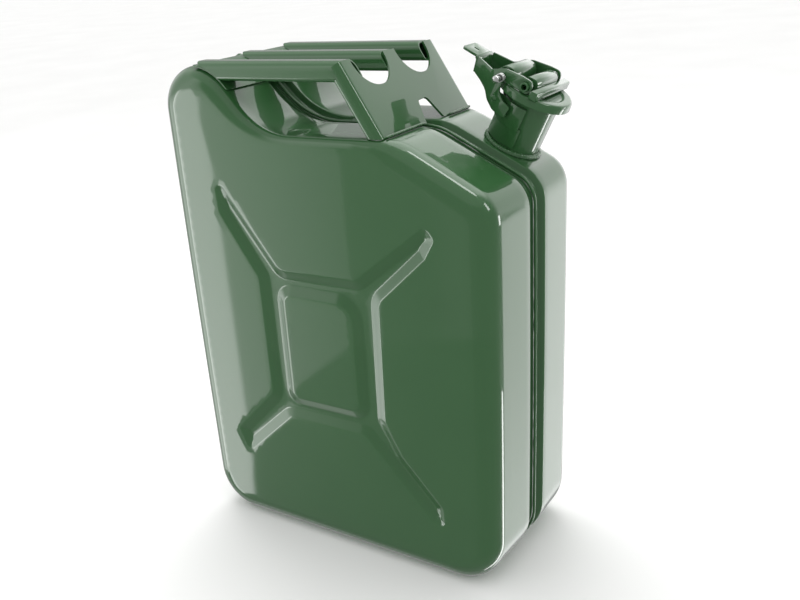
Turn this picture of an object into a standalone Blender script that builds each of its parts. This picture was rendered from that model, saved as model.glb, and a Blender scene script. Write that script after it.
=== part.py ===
"""A pressed steel fuel can of twenty litres, as separate pieces at real size.

Metres, +Z up. X runs along the broad front face, Y from the front face to the rear one, and the
origin lies on the ground under the middle of the whole can. The pieces are laid out about the
middle of the body and then moved by ORIGIN_X, because the cap overhangs the body a little. The two
half shells meet at Y = 0. The neck stands square on the sloping shoulder of the rear half, and the
closure is laid out in the frame of the neck: lateral (down the shoulder), Y, and rise along its axis.
"""

import math

import bmesh
import bpy

MM = 0.001

# Body: outline seen from the front
BODY_WIDTH = 345 * MM
BODY_DEPTH = 165 * MM
HUMP_HEIGHT = 467 * MM
RECESS_DROP = 56 * MM
HUMP_SHARE = 0.1473
RECESS_END_SHARE = 0.2333
RECESS_RAMP = math.radians(46.2)
SHOULDER_SLOPE = math.radians(26.4)
BOTTOM_RADIUS = 46 * MM
HUMP_OUTER_SHARE = 0.1101
HUMP_INNER_SHARE = 0.0812
RECESS_RADIUS = 83 * MM
SHOULDER_TOP_RADIUS = 60 * MM
SHOULDER_END_SHARE = 0.087
WALL_TAPER = 2 * MM
WALL_BULGE = 1.6 * MM
WALL_RING_SHARES = (0.25, 0.5, 0.75)

# Body: section through the wall
SHEET = 1.2 * MM
FACE_RADIUS = 20 * MM
GROOVE_HALF_WIDTH = 12.5 * MM
GROOVE_DEPTH = 6 * MM
GROOVE_SLOPE_WIDTH = 2 * MM
FLANGE_INSET = 3.9 * MM
SEAM_GAP = 0.3 * MM
SEAM_BEAD_RADIUS = 1.5 * MM
SEAM_BEAD_SIDES = 6

# Pressed cross and frame in both faces
EMBOSS_DEPTH = 4.5 * MM
EMBOSS_RUN = 6.5 * MM
EMBOSS_FLOOR_RADIUS = 0.3 * MM
EMBOSS_OUTLINE_SHARES = (
    (-0.151, 0.285, 0.03),
    (0.104, 0.287, 0.03),
    (0.310, 0.133, 0.02),
    (0.352, 0.120, 0.02),
    (0.345, 0.169, 0.02),
    (0.226, 0.263, 0.05),
    (0.174, 0.332, 0.03),
    (0.197, 0.591, 0.03),
    (0.322, 0.677, 0.02),
    (0.352, 0.716, 0.02),
    (0.323, 0.742, 0.02),
    (0.110, 0.621, 0.03),
    (-0.133, 0.619, 0.03),
    (-0.270, 0.752, 0.04),
    (-0.334, 0.808, 0.02),
    (-0.328, 0.720, 0.05),
    (-0.212, 0.593, 0.03),
    (-0.212, 0.336, 0.03),
    (-0.362, 0.229, 0.02),
    (-0.333, 0.169, 0.02),
)
ISLAND_OUTLINE_SHARES = (
    (-0.133, 0.338, 0.03),
    (0.087, 0.342, 0.03),
    (0.087, 0.561, 0.03),
    (-0.116, 0.561, 0.03),
)

# Fits and cutting
CLEARANCE = 0.3 * MM
RUNNING_FIT = 0.05 * MM
OVERRUN = 4 * MM
ARC_STEP = math.radians(18)
FINE_STEP = math.radians(12)
NECK_SIDES = 32
CAP_SIDES = 36
RIVET_SIDES = 20
PIN_SIDES = 24
BORE_SIDES = 16
FACE_STEPS = 5
BAND_STEPS = 16

# Handle
HANDLE_INSET = 6 * MM
HANDLE_STAND = 4.5 * MM
HANDLE_SHEET = 2 * MM
PLATE_FOOT_INSET = 8.5 * MM
PLATE_LEAN = math.radians(57.6)
FLANGE_DEPTH = 12 * MM
FLANGE_LIP = 6 * MM
FLANGE_RADIUS = 5 * MM
FLANGE_TOP_SHARE = 0.86
LIP_TOP_SHARE = 0.72
SCALLOP_WIDTH = 50 * MM
SCALLOP_DEPTH = 27 * MM
SCALLOP_RADIUS = 24 * MM
ARCH_OUTLINE_SHARES = (
    (-0.105, -0.14, 0),
    (0.430, -0.14, 0),
    (0.235, 0.292, 0.05),
    (0.195, 0.312, 0.05),
    (0.022, 0.305, 0.05),
    (-0.040, 0.10, 0.06),
)
BAR_WIDTH = 24 * MM
BAR_HEIGHT = 16.5 * MM
BAR_TOP_RADIUS = 6 * MM
BAR_FOOT_RADIUS = 3 * MM
BAR_WALL = 1.5 * MM
BAR_STEP = math.radians(24)
REAR_PLATE_SHEET = 1.6 * MM
REAR_PLATE_RUN = 34 * MM
REAR_PLATE_OVERLAP = 6 * MM
FOOT_WELD_RADIUS = 2.2 * MM
FOOT_WELD_RIPPLE_SHARE = 0.14
FOOT_WELD_RIPPLES = 9
FOOT_WELD_SIDES = 8

# Neck, in the frame of the neck
NECK_X_SHARE = 0.3768
NECK_Y_SHARE = 0.2606
NECK_STAND = 1.4 * MM
NECK_RADIUS = 23 * MM
NECK_WALL = 1.5 * MM
NECK_RISE = 46.6 * MM
NECK_TAIL = 6 * MM
LIP_RADIUS = 24.5 * MM
LIP_DEPTH = 3 * MM
NECK_WELD_SIZE = 3.2 * MM
NECK_WELD_FULLNESS_SHARE = 0.85
BREATHER_RADIUS = 4 * MM
BREATHER_WALL = 0.8 * MM
BREATHER_SIDES = 8
BREATHER_TOP_DROP = 8 * MM
BREATHER_DROP = 28 * MM
BREATHER_BEND = 20 * MM
BREATHER_DEPTH = 10 * MM
BREATHER_END_SHARE = 0.342
BREATHER_END_DROP = 14 * MM

# Cap
CAP_RADIUS = 31.8 * MM
CAP_TOP_RADIUS = 28.8 * MM
CAP_DISH_RADIUS = 22 * MM
CAP_SHEET = 1.2 * MM
CAP_TOP = 51.6 * MM
CAP_RIM = 44.4 * MM
CAP_DISH_DEPTH = 1.2 * MM
CAP_EDGE = 2 * MM
GASKET_RADIUS = 27 * MM
GASKET_BORE = 6 * MM
RETAINER_RADIUS = 16 * MM
RETAINER_SHEET = 0.9 * MM
RIVET_SHANK = 2.8 * MM
RIVET_HEAD = 5 * MM
RIVET_HEAD_HEIGHT = 0.8 * MM
RIVET_HOLE = 3.2 * MM

# Closure: bridge and pins
PIVOT_LATERAL = -23.2 * MM
PIVOT_RISE = 35.4 * MM
PIVOT_RADIUS = 2.6 * MM
PIVOT_HEAD = 3.8 * MM
CROSS_PIN_LATERAL = -0.8 * MM
CROSS_PIN_RISE = 57.6 * MM
CROSS_PIN_RADIUS = 3.8 * MM
CROSS_PIN_BORE = 2.3 * MM
CROSS_PIN_REACH = 3 * MM
CROSS_EYE_RADIUS = 5.8 * MM
LOCK_PIN_LATERAL = -23.3 * MM
LOCK_PIN_RISE = 54.3 * MM
LOCK_PIN_RADIUS = 2.2 * MM
LOCK_PIN_HEAD = 3.2 * MM
LOCK_PIN_HEAD_LENGTH = 5.5 * MM
LOCK_PIN_HEAD_SHARES = (
    (0, 0.43),
    (0.17, 0.80),
    (0.33, 0.95),
    (0.5, 1),
    (0.67, 0.95),
    (0.83, 0.80),
    (1, 0.43),
)
LOCK_PIN_TRAVEL = 2 * MM
SPRING_RADIUS = 3.2 * MM
SPRING_WIRE = 0.6 * MM
SPRING_PITCH = 1.65 * MM
SPRING_TURNS = 3
SPRING_STEPS = 12
SPRING_SIDES = 6
BRIDGE_HALF_WIDTH = 20 * MM
BRIDGE_SHEET = 1.6 * MM
BRIDGE_DOME_RADIUS = 7.2 * MM
DOME_ROUND_SHARE = 0.95
BARREL_ROUND_SHARE = 0.8
BRIDGE_FRONT = 13.5 * MM
BRIDGE_BEND = 3 * MM
LUG_BAR_LATERAL = 9.5 * MM
LUG_BAR_WIDTH = 7 * MM
LUG_BAR_HEIGHT = 6.5 * MM
LUG_BAR_ROUND = 1.5 * MM
LUG_REACH = 1.2 * MM

# Lever
LEVER_SHEET = 2 * MM
LEVER_REACH = 55.5 * MM
LEVER_RISE = 54 * MM
ARM_OFFSET_SHARES = ((-1.0, 0.42), (-0.66, 0.654), (-0.39, 0.82), (-0.012, 0.903))
ARM_OUTLINE_SHARES = (
    (-0.982, 1.020, 0),
    (-0.960, 0.785, 0.03),
    (-0.795, 0.743, 0.10),
    (-0.640, 0.680, 0.15),
    (-0.535, 0.565, 0.10),
    (-0.360, 0.480, 0.10),
    (-0.140, 0.470, 0.04),
    (-0.110, 0.660, 0.04),
    (-0.262, 0.690, 0.10),
    (-0.390, 0.800, 0.08),
    (-0.390, 0.967, 0.04),
    (0.091, 0.967, 0.09),
    (0.091, 1.180, 0.10),
    (-0.115, 1.180, 0.10),
    (-0.420, 1.145, 0.10),
    (-0.660, 1.000, 0.06),
)
TAB_HALF_WIDTH = 12 * MM
TAB_CORNER = 3 * MM
TAB_REACH = 17.5 * MM
TAB_LIFT = 0.5 * MM
TAB_SLOT_SHARE = 0.55
TAB_SLOT_LENGTH = 5 * MM
TAB_SLOT_WIDTH = 2.2 * MM
TAB_BEND = 3 * MM
WEB_DROP = 12 * MM

# Hinge bracket
BRACKET_SHEET = 2 * MM
BRACKET_FOOT = 4 * MM
BRACKET_STEP_RISE = 21 * MM
BRACKET_TOP = 39 * MM
BRACKET_PAD = 0.7 * MM
BRACKET_WRAP = math.radians(106)
BRACKET_FOOT_WRAP = math.radians(111)
EAR_SHEET = 1.8 * MM
EAR_RADIUS = 5.4 * MM
EAR_FOOT_RISE = 31 * MM
EAR_GAP = 1.5 * MM

# Colours of the finishes
PAINT_COLOUR = (0.045, 0.105, 0.053, 1)
ZINC_COLOUR = (0.72, 0.73, 0.72, 1)
RUBBER_COLOUR = (0.02, 0.02, 0.02, 1)

RECESS_HEIGHT = HUMP_HEIGHT - RECESS_DROP
RECESS_START = (0.5 - HUMP_SHARE) * BODY_WIDTH - RECESS_DROP / math.tan(RECESS_RAMP)
RECESS_END = RECESS_END_SHARE * BODY_WIDTH
HANDLE_HALF_WIDTH = BODY_DEPTH / 2 - HANDLE_INSET
HANDLE_TOP = HUMP_HEIGHT + HANDLE_STAND
PLATE_FOOT_X = RECESS_END - PLATE_FOOT_INSET
NECK_X = NECK_X_SHARE * BODY_WIDTH
NECK_Y = NECK_Y_SHARE * BODY_DEPTH
SLOPE_COS = math.cos(SHOULDER_SLOPE)
SLOPE_SIN = math.sin(SHOULDER_SLOPE)
SHOULDER_Z = RECESS_HEIGHT - (NECK_X - RECESS_END) * math.tan(SHOULDER_SLOPE)
NECK_Z = SHOULDER_Z + NECK_STAND / SLOPE_COS
CAP_EDGE_X = NECK_X + (CAP_RADIUS - CAP_SHEET / 2) * SLOPE_COS + (CAP_TOP - CAP_EDGE) * SLOPE_SIN
ORIGIN_X = (CAP_EDGE_X - BODY_WIDTH / 2) / 2
LEAN_COS = math.cos(PLATE_LEAN)
LEAN_SIN = math.sin(PLATE_LEAN)
PLATE_HEIGHT = (HANDLE_TOP - RECESS_HEIGHT) / LEAN_SIN


def clear_scene():
    """Take every object out of the scene."""
    for item in list(bpy.data.objects):
        bpy.data.objects.remove(item, do_unlink=True)


def paint(name, colour, roughness, metallic):
    """A material with one shader that holds colour, roughness and metal share."""
    made = bpy.data.materials.new(name)
    made.use_nodes = True
    shader = made.node_tree.nodes["Principled BSDF"]
    shader.inputs["Base Color"].default_value = colour
    shader.inputs["Roughness"].default_value = roughness
    shader.inputs["Metallic"].default_value = metallic
    made.diffuse_color = colour
    return made


def painted(name):
    return paint(name + "_paint", PAINT_COLOUR, 0.12, 0.0)


def plated(name):
    return paint(name + "_plating", ZINC_COLOUR, 0.25, 1.0)


def grounded(point):
    """A point of the layout as a place in the world, whose origin is under the whole can."""
    return (point[0] - ORIGIN_X, point[1], point[2])


def add_object(name, mesh, material, origin=(ORIGIN_X, 0, 0), parent=None):
    """Link a mesh given in the layout, with its object's origin moved to a chosen point."""
    for vertex in mesh.vertices:
        vertex.co.x -= origin[0]
        vertex.co.y -= origin[1]
        vertex.co.z -= origin[2]
    item = bpy.data.objects.new(name, mesh)
    bpy.context.collection.objects.link(item)
    item.location = grounded(origin)
    if parent:
        item.parent = parent
        item.location = [a - b for a, b in zip(item.location, parent.location)]
    if material:
        mesh.materials.clear()
        mesh.materials.append(material)
    mesh.shade_smooth()
    mesh.set_sharp_from_angle(angle=math.radians(35))
    return item


def mesh_from(points, faces):
    """A mesh whose faces all point outwards."""
    mesh = bpy.data.meshes.new("shape")
    mesh.from_pydata(points, [], faces)
    work = bmesh.new()
    work.from_mesh(mesh)
    bmesh.ops.recalc_face_normals(work, faces=work.faces)
    work.to_mesh(mesh)
    work.free()
    return mesh


def combine(first, second, operation):
    """The union of two meshes, or their difference, as a new mesh."""
    base = bpy.data.objects.new("base", first)
    tool = bpy.data.objects.new("tool", second)
    bpy.context.collection.objects.link(base)
    bpy.context.collection.objects.link(tool)
    step = base.modifiers.new("step", "BOOLEAN")
    step.operation = operation
    step.object = tool
    graph = bpy.context.evaluated_depsgraph_get()
    result = bpy.data.meshes.new_from_object(base.evaluated_get(graph))
    bpy.data.objects.remove(base)
    bpy.data.objects.remove(tool)
    return result


def join(*meshes):
    result = meshes[0]
    for other in meshes[1:]:
        result = combine(result, other, "UNION")
    return result


def cut(mesh, *tools):
    for tool in tools:
        mesh = combine(mesh, tool, "DIFFERENCE")
    return mesh


def turn_of(before, corner, after):
    """Unit directions into and out of a corner and the signed angle between them."""
    into = (corner[0] - before[0], corner[1] - before[1])
    out = (after[0] - corner[0], after[1] - corner[1])
    into_length = math.hypot(*into)
    out_length = math.hypot(*out)
    into = (into[0] / into_length, into[1] / into_length)
    out = (out[0] / out_length, out[1] / out_length)
    turn = math.atan2(into[0] * out[1] - into[1] * out[0], into[0] * out[0] + into[1] * out[1])
    return into, out, turn


def rounded(corners, step=ARC_STEP, closed=True):
    """Points along a line through corners (u, v, radius), each rounded by an arc."""
    points = []
    count = len(corners)
    for index, corner in enumerate(corners):
        is_end = not closed and index in (0, count - 1)
        if is_end or not corner[2]:
            points.append((corner[0], corner[1]))
            continue
        into, out, turn = turn_of(corners[index - 1], corner, corners[(index + 1) % count])
        reach = corner[2] * math.tan(abs(turn) / 2)
        side = math.copysign(1, turn)
        start = (corner[0] - into[0] * reach, corner[1] - into[1] * reach)
        centre = (start[0] - into[1] * side * corner[2], start[1] + into[0] * side * corner[2])
        pieces = max(1, round(abs(turn) / step))
        for piece in range(pieces + 1):
            swing = turn * piece / pieces
            arm = (start[0] - centre[0], start[1] - centre[1])
            points.append((
                centre[0] + arm[0] * math.cos(swing) - arm[1] * math.sin(swing),
                centre[1] + arm[0] * math.sin(swing) + arm[1] * math.cos(swing),
            ))
    return points


def inset_corners(corners, distance):
    """The corners of an outline (counter-clockwise) drawn in by a distance, radii following."""
    moved = []
    count = len(corners)
    for index, corner in enumerate(corners):
        into, out, turn = turn_of(corners[index - 1], corner, corners[(index + 1) % count])
        along = distance * math.tan(turn / 2)
        u = corner[0] - into[1] * distance - into[0] * along
        v = corner[1] + into[0] * distance - into[1] * along
        radius = corner[2] - math.copysign(distance, turn)
        moved.append((u, v, max(radius, 0)))
    return moved


def inset_points(points, distance):
    """The points of a closed line (counter-clockwise), each moved in square to the line."""
    moved = []
    count = len(points)
    for index, point in enumerate(points):
        into, out, turn = turn_of(points[index - 1], point, points[(index + 1) % count])
        along = distance * math.tan(turn / 2)
        moved.append((
            point[0] - into[1] * distance - into[0] * along,
            point[1] + into[0] * distance - into[1] * along,
        ))
    return moved


def loft(rings, closed=False):
    """A skin over rings of equal count; without closed, the end rings are filled."""
    count = len(rings[0])
    points = [point for ring in rings for point in ring]
    faces = []
    last = len(rings) if closed else len(rings) - 1
    for row in range(last):
        following = (row + 1) % len(rings)
        for index in range(count):
            beside = (index + 1) % count
            faces.append((
                row * count + index,
                row * count + beside,
                following * count + beside,
                following * count + index,
            ))
    if not closed:
        faces.append(tuple(range(count)))
        faces.append(tuple(range((len(rings) - 1) * count, len(rings) * count)))
    return mesh_from(points, faces)


def prism(outline, low, high, place):
    """An outline carried from one depth to another; place turns (u, v, depth) into a point."""
    return loft([[place(u, v, depth) for u, v in outline] for depth in (low, high)])


def bent_sheet(line, thickness):
    """The outline of a sheet whose middle follows an open line."""
    left = []
    right = []
    for index, point in enumerate(line):
        before = line[max(index - 1, 0)]
        after = line[min(index + 1, len(line) - 1)]
        if index in (0, len(line) - 1):
            length = math.hypot(after[0] - before[0], after[1] - before[1])
            normal = (-(after[1] - before[1]) / length, (after[0] - before[0]) / length)
            stretch = 1
        else:
            into, out, turn = turn_of(before, point, after)
            middle = math.hypot(into[0] + out[0], into[1] + out[1])
            normal = (-(into[1] + out[1]) / middle, (into[0] + out[0]) / middle)
            stretch = 1 / math.cos(turn / 2)
        half = thickness / 2 * stretch
        left.append((point[0] + normal[0] * half, point[1] + normal[1] * half))
        right.append((point[0] - normal[0] * half, point[1] - normal[1] * half))
    return left + right[::-1]


def front_view(u, v, depth):
    """Outline drawn in X and Z, depth along Y."""
    return (u, depth, v)


def neck_frame(lateral, rise, across):
    """A point of the closure: lateral down the shoulder, rise along the neck, across in Y."""
    return (
        NECK_X + lateral * SLOPE_COS + rise * SLOPE_SIN,
        NECK_Y + across,
        NECK_Z - lateral * SLOPE_SIN + rise * SLOPE_COS,
    )


def plate_frame(across, up, out):
    """A point of the handle's front plate: across in Y, up the plate, out of its front."""
    return (
        PLATE_FOOT_X - up * LEAN_COS + out * LEAN_SIN,
        across,
        RECESS_HEIGHT + up * LEAN_SIN + out * LEAN_COS,
    )


def turned(profile, segments, place=neck_frame):
    """A profile of (radius, rise) turned about the neck's axis, closed or ending on the axis."""
    on_axis = not profile[0][0] and not profile[-1][0]
    points = []
    rows = []
    for radius, rise in profile:
        if radius:
            row = []
            for step in range(segments):
                angle = 2 * math.pi * step / segments
                row.append(len(points))
                points.append(place(radius * math.cos(angle), rise, radius * math.sin(angle)))
        else:
            row = [len(points)] * segments
            points.append(place(0, rise, 0))
        rows.append(row)
    faces = []
    pairs = list(zip(rows, rows[1:])) + ([] if on_axis else [(rows[-1], rows[0])])
    for low, high in pairs:
        for step in range(segments):
            beside = (step + 1) % segments
            face = []
            for index in (low[step], low[beside], high[beside], high[step]):
                if index not in face:
                    face.append(index)
            if len(face) > 2:
                faces.append(tuple(face))
    return mesh_from(points, faces)


def pin(lateral, rise, radius, low, high, sides=PIN_SIDES):
    """A round pin of the closure, along Y between two places across the neck."""
    circle = []
    for step in range(sides):
        angle = 2 * math.pi * step / sides
        circle.append((lateral + radius * math.cos(angle), rise + radius * math.sin(angle)))
    return prism(circle, low, high, neck_frame)


def swept(path, radii, sides):
    """A tube through points in space, with a radius at each and both ends filled."""
    rings = []
    for index, point in enumerate(path):
        before = path[max(index - 1, 0)]
        after = path[min(index + 1, len(path) - 1)]
        along = [b - a for a, b in zip(before, after)]
        length = math.sqrt(sum(part * part for part in along))
        along = [part / length for part in along]
        pole = (0, 1, 0) if abs(along[1]) < 0.9 else (0, 0, 1)
        side = cross(along, pole)
        size = math.sqrt(sum(part * part for part in side))
        side = [part / size for part in side]
        up = cross(side, along)
        ring = []
        for step in range(sides):
            angle = 2 * math.pi * step / sides
            ring.append(tuple(
                place + radii[index] * (math.cos(angle) * a + math.sin(angle) * b)
                for place, a, b in zip(point, side, up)
            ))
        rings.append(ring)
    return rings


def cross(a, b):
    return [a[1] * b[2] - a[2] * b[1], a[2] * b[0] - a[0] * b[2], a[0] * b[1] - a[1] * b[0]]


# Body

def body_corners():
    """The corners of the can's outline, counter-clockwise from the bottom left."""
    half = BODY_WIDTH / 2
    ramp_reach = RECESS_DROP / math.tan(RECESS_RAMP)
    shoulder_end = RECESS_HEIGHT - (half - RECESS_END) * math.tan(SHOULDER_SLOPE)
    return [
        (-half, 0, BOTTOM_RADIUS),
        (half, 0, BOTTOM_RADIUS),
        (half, shoulder_end, SHOULDER_END_SHARE * BODY_WIDTH),
        (RECESS_END, RECESS_HEIGHT, SHOULDER_TOP_RADIUS),
        (-RECESS_START, RECESS_HEIGHT, RECESS_RADIUS),
        (-RECESS_START - ramp_reach, HUMP_HEIGHT, HUMP_INNER_SHARE * BODY_WIDTH),
        (-half, HUMP_HEIGHT, HUMP_OUTER_SHARE * BODY_WIDTH),
    ]


def body_outline():
    """The outline's points, with a few more up each side wall for the bulge."""
    points = rounded(body_corners(), FINE_STEP)
    filled = []
    for index, point in enumerate(points):
        after = points[(index + 1) % len(points)]
        filled.append(point)
        if abs(point[0] - after[0]) < MM and abs(point[1] - after[1]) > BODY_WIDTH / 2:
            for share in WALL_RING_SHARES:
                height = point[1] + (after[1] - point[1]) * share
                filled.append((point[0], height))
    return filled


def drawn_in(x, z, share):
    """A point of the outline after the side walls' bulge and, by a share, their taper."""
    level = 2 * z / HUMP_HEIGHT - 1
    weight = (2 * x / BODY_WIDTH) ** 4
    return x - math.copysign((WALL_BULGE * level * level + WALL_TAPER * share) * weight, x)


def body_ring(outline, inset, depth, side):
    """One ring of a half shell: the outline drawn in, bulged, tapered, at a depth from the seam."""
    start = GROOVE_HALF_WIDTH + GROOVE_SLOPE_WIDTH
    end = BODY_DEPTH / 2 - FACE_RADIUS
    share = min(max((depth - start) / (end - start), 0), 1)
    points = inset_points(outline, inset) if inset else outline
    return [(drawn_in(x, z, share), side * depth, z) for x, z in points]


def shell_profile():
    """The section of a half shell from the middle of its face to the seam and back inside."""
    half = BODY_DEPTH / 2
    outer = []
    inner = []
    for step in range(FACE_STEPS + 1):
        angle = math.pi / 2 * step / FACE_STEPS
        outer.append((
            FACE_RADIUS * (1 - math.sin(angle)),
            half - FACE_RADIUS * (1 - math.cos(angle)),
        ))
        inner.append((
            SHEET + (FACE_RADIUS - SHEET) * (1 - math.sin(angle)),
            half - SHEET - (FACE_RADIUS - SHEET) * (1 - math.cos(angle)),
        ))
    rim = SEAM_GAP / 2
    outer += [
        (0, GROOVE_HALF_WIDTH + GROOVE_SLOPE_WIDTH),
        (GROOVE_DEPTH, GROOVE_HALF_WIDTH),
        (GROOVE_DEPTH, rim + SHEET),
        (FLANGE_INSET, rim + SHEET),
        (FLANGE_INSET, rim),
        (GROOVE_DEPTH + SHEET, rim),
    ]
    inner += [
        (SHEET, GROOVE_HALF_WIDTH + GROOVE_SLOPE_WIDTH + SHEET / 2),
        (GROOVE_DEPTH + SHEET, GROOVE_HALF_WIDTH + SHEET / 2),
    ]
    return outer + inner[::-1]


def face_prism(corners, side, shares):
    """A solid in the face: rings of (inset, depth below the face) of one rounded outline."""
    rings = []
    for inset, depth in shares:
        points = rounded(inset_corners(corners, inset))
        rings.append([(x, side * (BODY_DEPTH / 2 - depth), z) for x, z in points])
    return loft(rings)


def pressed_corners(shares):
    """The corners of a pressed outline, round enough to stay round at the foot of the slope."""
    least = EMBOSS_RUN + EMBOSS_FLOOR_RADIUS
    return [(u * BODY_WIDTH, v * HUMP_HEIGHT, max(r * BODY_WIDTH, least)) for u, v, r in shares]


def emboss_tools(side):
    """The backing that thickens the sheet behind the pressing, and the tool that presses it."""
    outer = pressed_corners(EMBOSS_OUTLINE_SHARES)
    island = pressed_corners(ISLAND_OUTLINE_SHARES)
    slope = EMBOSS_RUN / EMBOSS_DEPTH
    spread = SHEET * math.hypot(EMBOSS_RUN, EMBOSS_DEPTH) / EMBOSS_DEPTH
    middle = SHEET / 2
    back = EMBOSS_DEPTH + SHEET
    backing = face_prism(outer, side, ((slope * middle - spread, middle), (slope * back - spread, back)))
    well = face_prism(
        island,
        side,
        ((spread + slope * OVERRUN, -OVERRUN), (spread - slope * (back + SHEET), back + SHEET)),
    )
    press = face_prism(outer, side, ((-slope * SHEET, -SHEET), (EMBOSS_RUN, EMBOSS_DEPTH)))
    core = face_prism(
        island,
        side,
        ((slope * OVERRUN, -OVERRUN), (-slope * (EMBOSS_DEPTH + SHEET), EMBOSS_DEPTH + SHEET)),
    )
    return cut(backing, well), cut(press, core)


def half_shell(side):
    """One pressed half: side is -1 for the front half and +1 for the rear one."""
    outline = body_outline()
    rings = [body_ring(outline, inset, depth, side) for inset, depth in shell_profile()]
    shell = loft(rings)
    backing, press = emboss_tools(side)
    return cut(join(shell, backing), press)


def seam_bead():
    """The weld bead that closes the two flanges, all the way round."""
    outline = body_outline()
    middle = FLANGE_INSET - CLEARANCE - SEAM_BEAD_RADIUS
    rings = []
    for step in range(SEAM_BEAD_SIDES):
        angle = 2 * math.pi * step / SEAM_BEAD_SIDES
        inset = middle + SEAM_BEAD_RADIUS * math.cos(angle)
        rings.append(body_ring(outline, inset, SEAM_BEAD_RADIUS * math.sin(angle), 1))
    return loft(rings, closed=True)


def build_body():
    add_object("front_half_shell", half_shell(-1), painted("front_half_shell"))
    rear = half_shell(1)
    hole = turned(
        ((0, -2 * OVERRUN), (NECK_RADIUS + CLEARANCE, -2 * OVERRUN),
         (NECK_RADIUS + CLEARANCE, 2 * OVERRUN), (0, 2 * OVERRUN)),
        NECK_SIDES,
    )
    add_object("rear_half_shell", cut(rear, hole), painted("rear_half_shell"))
    add_object("seam_weld_bead", seam_bead(), painted("seam_weld_bead"))


# Handle

def scallop(middle):
    """A round-bottomed notch in the top edge of the front plate."""
    half = SCALLOP_WIDTH / 2
    floor = PLATE_HEIGHT - SCALLOP_DEPTH
    top = PLATE_HEIGHT + OVERRUN
    corners = (
        (middle - half, floor, SCALLOP_RADIUS),
        (middle + half, floor, SCALLOP_RADIUS),
        (middle + half, top, 0),
        (middle - half, top, 0),
    )
    return prism(rounded(corners), -FLANGE_RADIUS, OVERRUN, plate_frame)


def front_plate():
    """The front plate: a channel folded back at both edges, notched, arched, cut at the foot."""
    edge = HANDLE_HALF_WIDTH - HANDLE_SHEET / 2
    inner = edge - FLANGE_LIP
    back = -FLANGE_DEPTH
    face = -HANDLE_SHEET / 2
    line = rounded(
        (
            (-inner, back, 0),
            (-edge, back, FLANGE_RADIUS / 2),
            (-edge, face, FLANGE_RADIUS),
            (edge, face, FLANGE_RADIUS),
            (edge, back, FLANGE_RADIUS / 2),
            (inner, back, 0),
        ),
        closed=False,
    )
    section = bent_sheet(line, HANDLE_SHEET)
    rings = []
    for up in (-FLANGE_DEPTH, PLATE_HEIGHT):
        rings.append([plate_frame(across, up, out) for across, out in section])
    plate = loft(rings)
    wide = HANDLE_HALF_WIDTH + OVERRUN
    floor = RECESS_HEIGHT + CLEARANCE
    foot = (
        (-PLATE_FOOT_X, floor - 2 * FLANGE_DEPTH),
        (2 * PLATE_FOOT_X, floor - 2 * FLANGE_DEPTH),
        (2 * PLATE_FOOT_X, floor),
        (-PLATE_FOOT_X, floor),
    )
    arch = [(u * PLATE_HEIGHT, v * PLATE_HEIGHT, r * PLATE_HEIGHT) for u, v, r in ARCH_OUTLINE_SHARES]
    lip_top = LIP_TOP_SHARE * PLATE_HEIGHT
    flange_top = FLANGE_TOP_SHARE * PLATE_HEIGHT
    top = PLATE_HEIGHT + OVERRUN
    inside = HANDLE_HALF_WIDTH - HANDLE_SHEET - CLEARANCE / 2
    lip_room = ((-inside, lip_top), (inside, lip_top), (inside, top), (-inside, top))
    top_room = ((-wide, flange_top), (wide, flange_top), (wide, top), (-wide, top))
    behind = -FLANGE_DEPTH - OVERRUN
    gap = (SCALLOP_WIDTH + lobe_width()) / 2
    return cut(
        plate,
        prism(foot, -wide, wide, front_view),
        scallop(-gap),
        scallop(gap),
        prism(rounded(arch), -FLANGE_RADIUS, OVERRUN, plate_frame),
        prism(lip_room, behind, -HANDLE_SHEET - CLEARANCE, plate_frame),
        prism(top_room, behind, -FLANGE_RADIUS - HANDLE_SHEET, plate_frame),
    )


def lobe_width():
    return (2 * HANDLE_HALF_WIDTH - 2 * SCALLOP_WIDTH) / 3


def hump_line(offset):
    """The body's outline over the hump's inner corner and down the ramp, lifted by an offset."""
    corners = inset_corners(body_corners(), -offset)
    points = rounded(corners, FINE_STEP)
    top = corners[5]
    reach = REAR_PLATE_RUN / 2
    return [
        (drawn_in(x, z, 1), z) for x, z in points
        if abs(x - top[0]) < reach and z > RECESS_HEIGHT + reach
    ]


def ramp_end(offset):
    """Where a level cut through the ramp, lifted by an offset, lies: X as a function of Z."""
    corners = inset_corners(body_corners(), -offset)
    top = corners[5]
    start = drawn_in(top[0], top[1], 1)
    return lambda z: start + (top[1] - z) / math.tan(RECESS_RAMP)


def rear_plate():
    """The strip that carries the bars' rear ends, bent over the hump's inner corner."""
    line = sorted(hump_line(CLEARANCE + REAR_PLATE_SHEET / 2))
    first = line[0]
    last = line[-1]
    run = REAR_PLATE_RUN / 2
    line = (
        [(first[0] - REAR_PLATE_OVERLAP, first[1])]
        + line
        + [(last[0] + run * math.cos(RECESS_RAMP), last[1] - run * math.sin(RECESS_RAMP))]
    )
    section = bent_sheet(line, REAR_PLATE_SHEET)
    wide = HANDLE_HALF_WIDTH - HANDLE_SHEET
    return prism(section, -wide, wide, front_view)


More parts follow.
